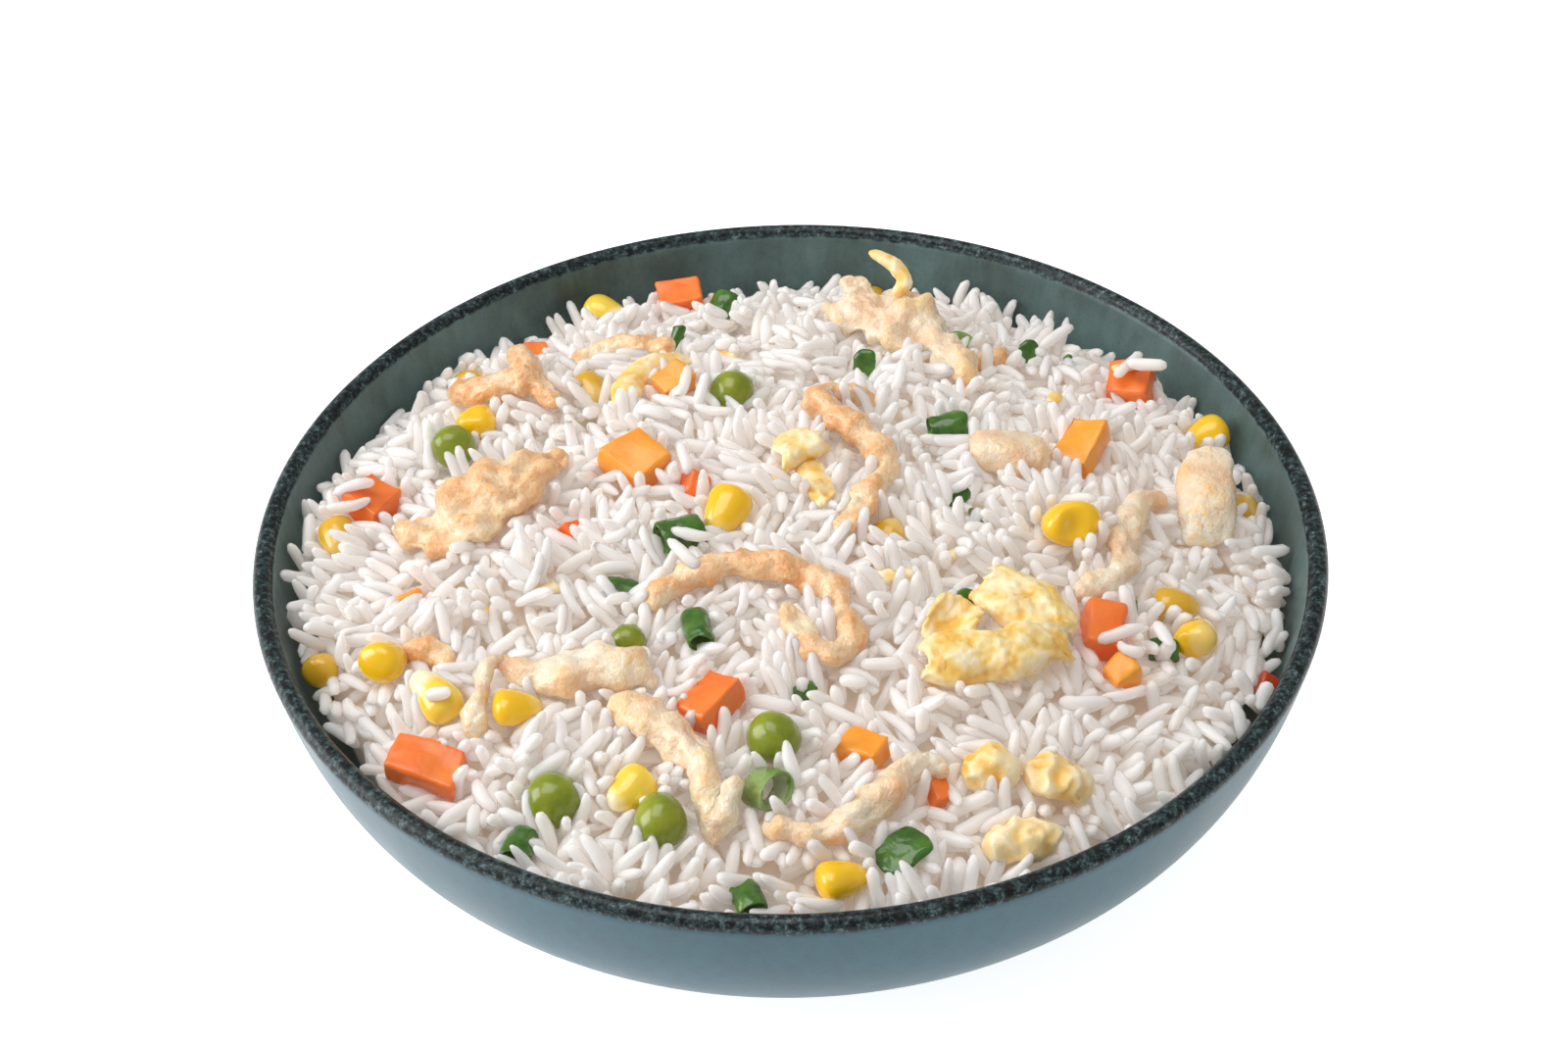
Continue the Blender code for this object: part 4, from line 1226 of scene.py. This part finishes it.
def grain_mesh(name, members):
    """One mesh of many grains, each with its own tint."""
    points, loops, sizes, tints = [], [], [], []
    count = 0
    for x, y, z, yaw, tilt in members:
        shape, faces = forms[seeded.randrange(len(forms))]
        length = GRAIN_LENGTH * seeded.uniform(0.86, 1.12)
        if seeded.random() < 0.08:
            length *= seeded.uniform(0.5, 0.75)
        thick = seeded.uniform(0.9, 1.12)
        turn = Euler((seeded.uniform(0, 6.3), -tilt, yaw)).to_matrix()
        spot = shape * (length, GRAIN_WIDTH * thick, GRAIN_THICKNESS * thick)
        spot = spot @ np.array(turn).T + (x, y, z)
        points.append(spot)
        for face in faces:
            loops.extend(count + v for v in face)
            sizes.append(len(face))
        tints.append(np.full(len(spot), seeded.random()))
        count += len(spot)
    mesh = bpy.data.meshes.new(name)
    mesh.vertices.add(count)
    mesh.vertices.foreach_set("co", (np.concatenate(points) * MM).ravel())
    mesh.loops.add(len(loops))
    mesh.loops.foreach_set("vertex_index", loops)
    mesh.polygons.add(len(sizes))
    starts = np.concatenate(([0], np.cumsum(sizes)[:-1]))
    mesh.polygons.foreach_set("loop_start", starts)
    mesh.update(calc_edges=True)
    mesh.attributes.new("tint", "FLOAT", "POINT").data.foreach_set("value", np.concatenate(tints))
    mesh.shade_smooth()
    mesh.materials.append(grain_material)
    piece = bpy.data.objects.new(name, mesh)
    bpy.context.scene.collection.objects.link(piece)
    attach(piece, "root")
    return piece


GRAIN_TRIANGLES = 96
MOST_TRIANGLES = 180000
GRAIN_PIECES = 1 + len(grains) * GRAIN_TRIANGLES // MOST_TRIANGLES
for part in range(GRAIN_PIECES):
    grain_mesh(f"rice_grains_{part + 1}", grains[part::GRAIN_PIECES])

# ---- The table, the light and the camera ---------------------------------------------
# A plain pale table in a white studio. The window light is a soft box at the back left;
# the camera looks down on the plate from the diner's side.
floor_mesh = bmesh.new()
bmesh.ops.create_grid(floor_mesh, x_segments=1, y_segments=1, size=12.0)
floor_data = bpy.data.meshes.new("table")
floor_mesh.to_mesh(floor_data)
floor_mesh.free()
table = bpy.data.objects.new("table", floor_data)
bpy.context.scene.collection.objects.link(table)
table_material, _ = new_material(
    "table_paint", Base_Color=(0.93, 0.93, 0.93, 1), Roughness=0.7,
    Emission_Color=(1, 1, 1, 1), Emission_Strength=0.8,
)
floor_data.materials.append(table_material)
table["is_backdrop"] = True


def softbox(name, place, size, watts, colour=(1, 1, 1)):
    """A square area light that looks at the plate. Its place is in metres."""
    data = bpy.data.lights.new(name, "AREA")
    data.shape = "SQUARE"
    data.size = size
    data.energy = watts
    data.color = colour
    light = bpy.data.objects.new(name, data)
    light.location = place
    light.rotation_euler = (Vector((0, 0, 0.04)) - light.location).to_track_quat("-Z", "Y").to_euler()
    bpy.context.scene.collection.objects.link(light)


softbox("window_light", (-1.0, -0.03, 0.52), 0.75, 8.5, (1.0, 0.985, 0.99))
softbox("top_fill", (-0.3, 0.1, 1.2), 0.9, 7.2, (1.0, 0.985, 0.965))

world = bpy.data.worlds.new("studio")
world.use_nodes = True
world.node_tree.nodes["Background"].inputs["Color"].default_value = (1.0, 0.965, 0.925, 1)
world.node_tree.nodes["Background"].inputs["Strength"].default_value = 0.42
bpy.context.scene.world = world
bpy.context.scene.view_settings.view_transform = "Standard"
bpy.context.scene.cycles.diffuse_bounces = 16  # the light that wanders between white grains
bpy.context.scene.cycles.max_bounces = 20

CAMERA_DISTANCE = 410.75
CAMERA_ELEVATION = math.radians(39.94)
CAMERA_ROLL = math.radians(-1.37)
lens = bpy.data.cameras.new("camera")
lens.lens = 50
lens.sensor_width = 36
lens.shift_x = -0.0031
lens.shift_y = -0.0092
lens.clip_start = 0.02
camera = bpy.data.objects.new("camera", lens)
back = Vector((0, -math.cos(CAMERA_ELEVATION), math.sin(CAMERA_ELEVATION)))
camera.location = (Vector((0, 0, RIM_HEIGHT)) + back * CAMERA_DISTANCE) * MM
camera.rotation_mode = "QUATERNION"
camera.rotation_quaternion = (-back).to_track_quat("-Z", "Y") @ Quaternion((0, 0, 1), CAMERA_ROLL)
bpy.context.scene.collection.objects.link(camera)
bpy.context.scene.camera = camera

low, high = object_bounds()
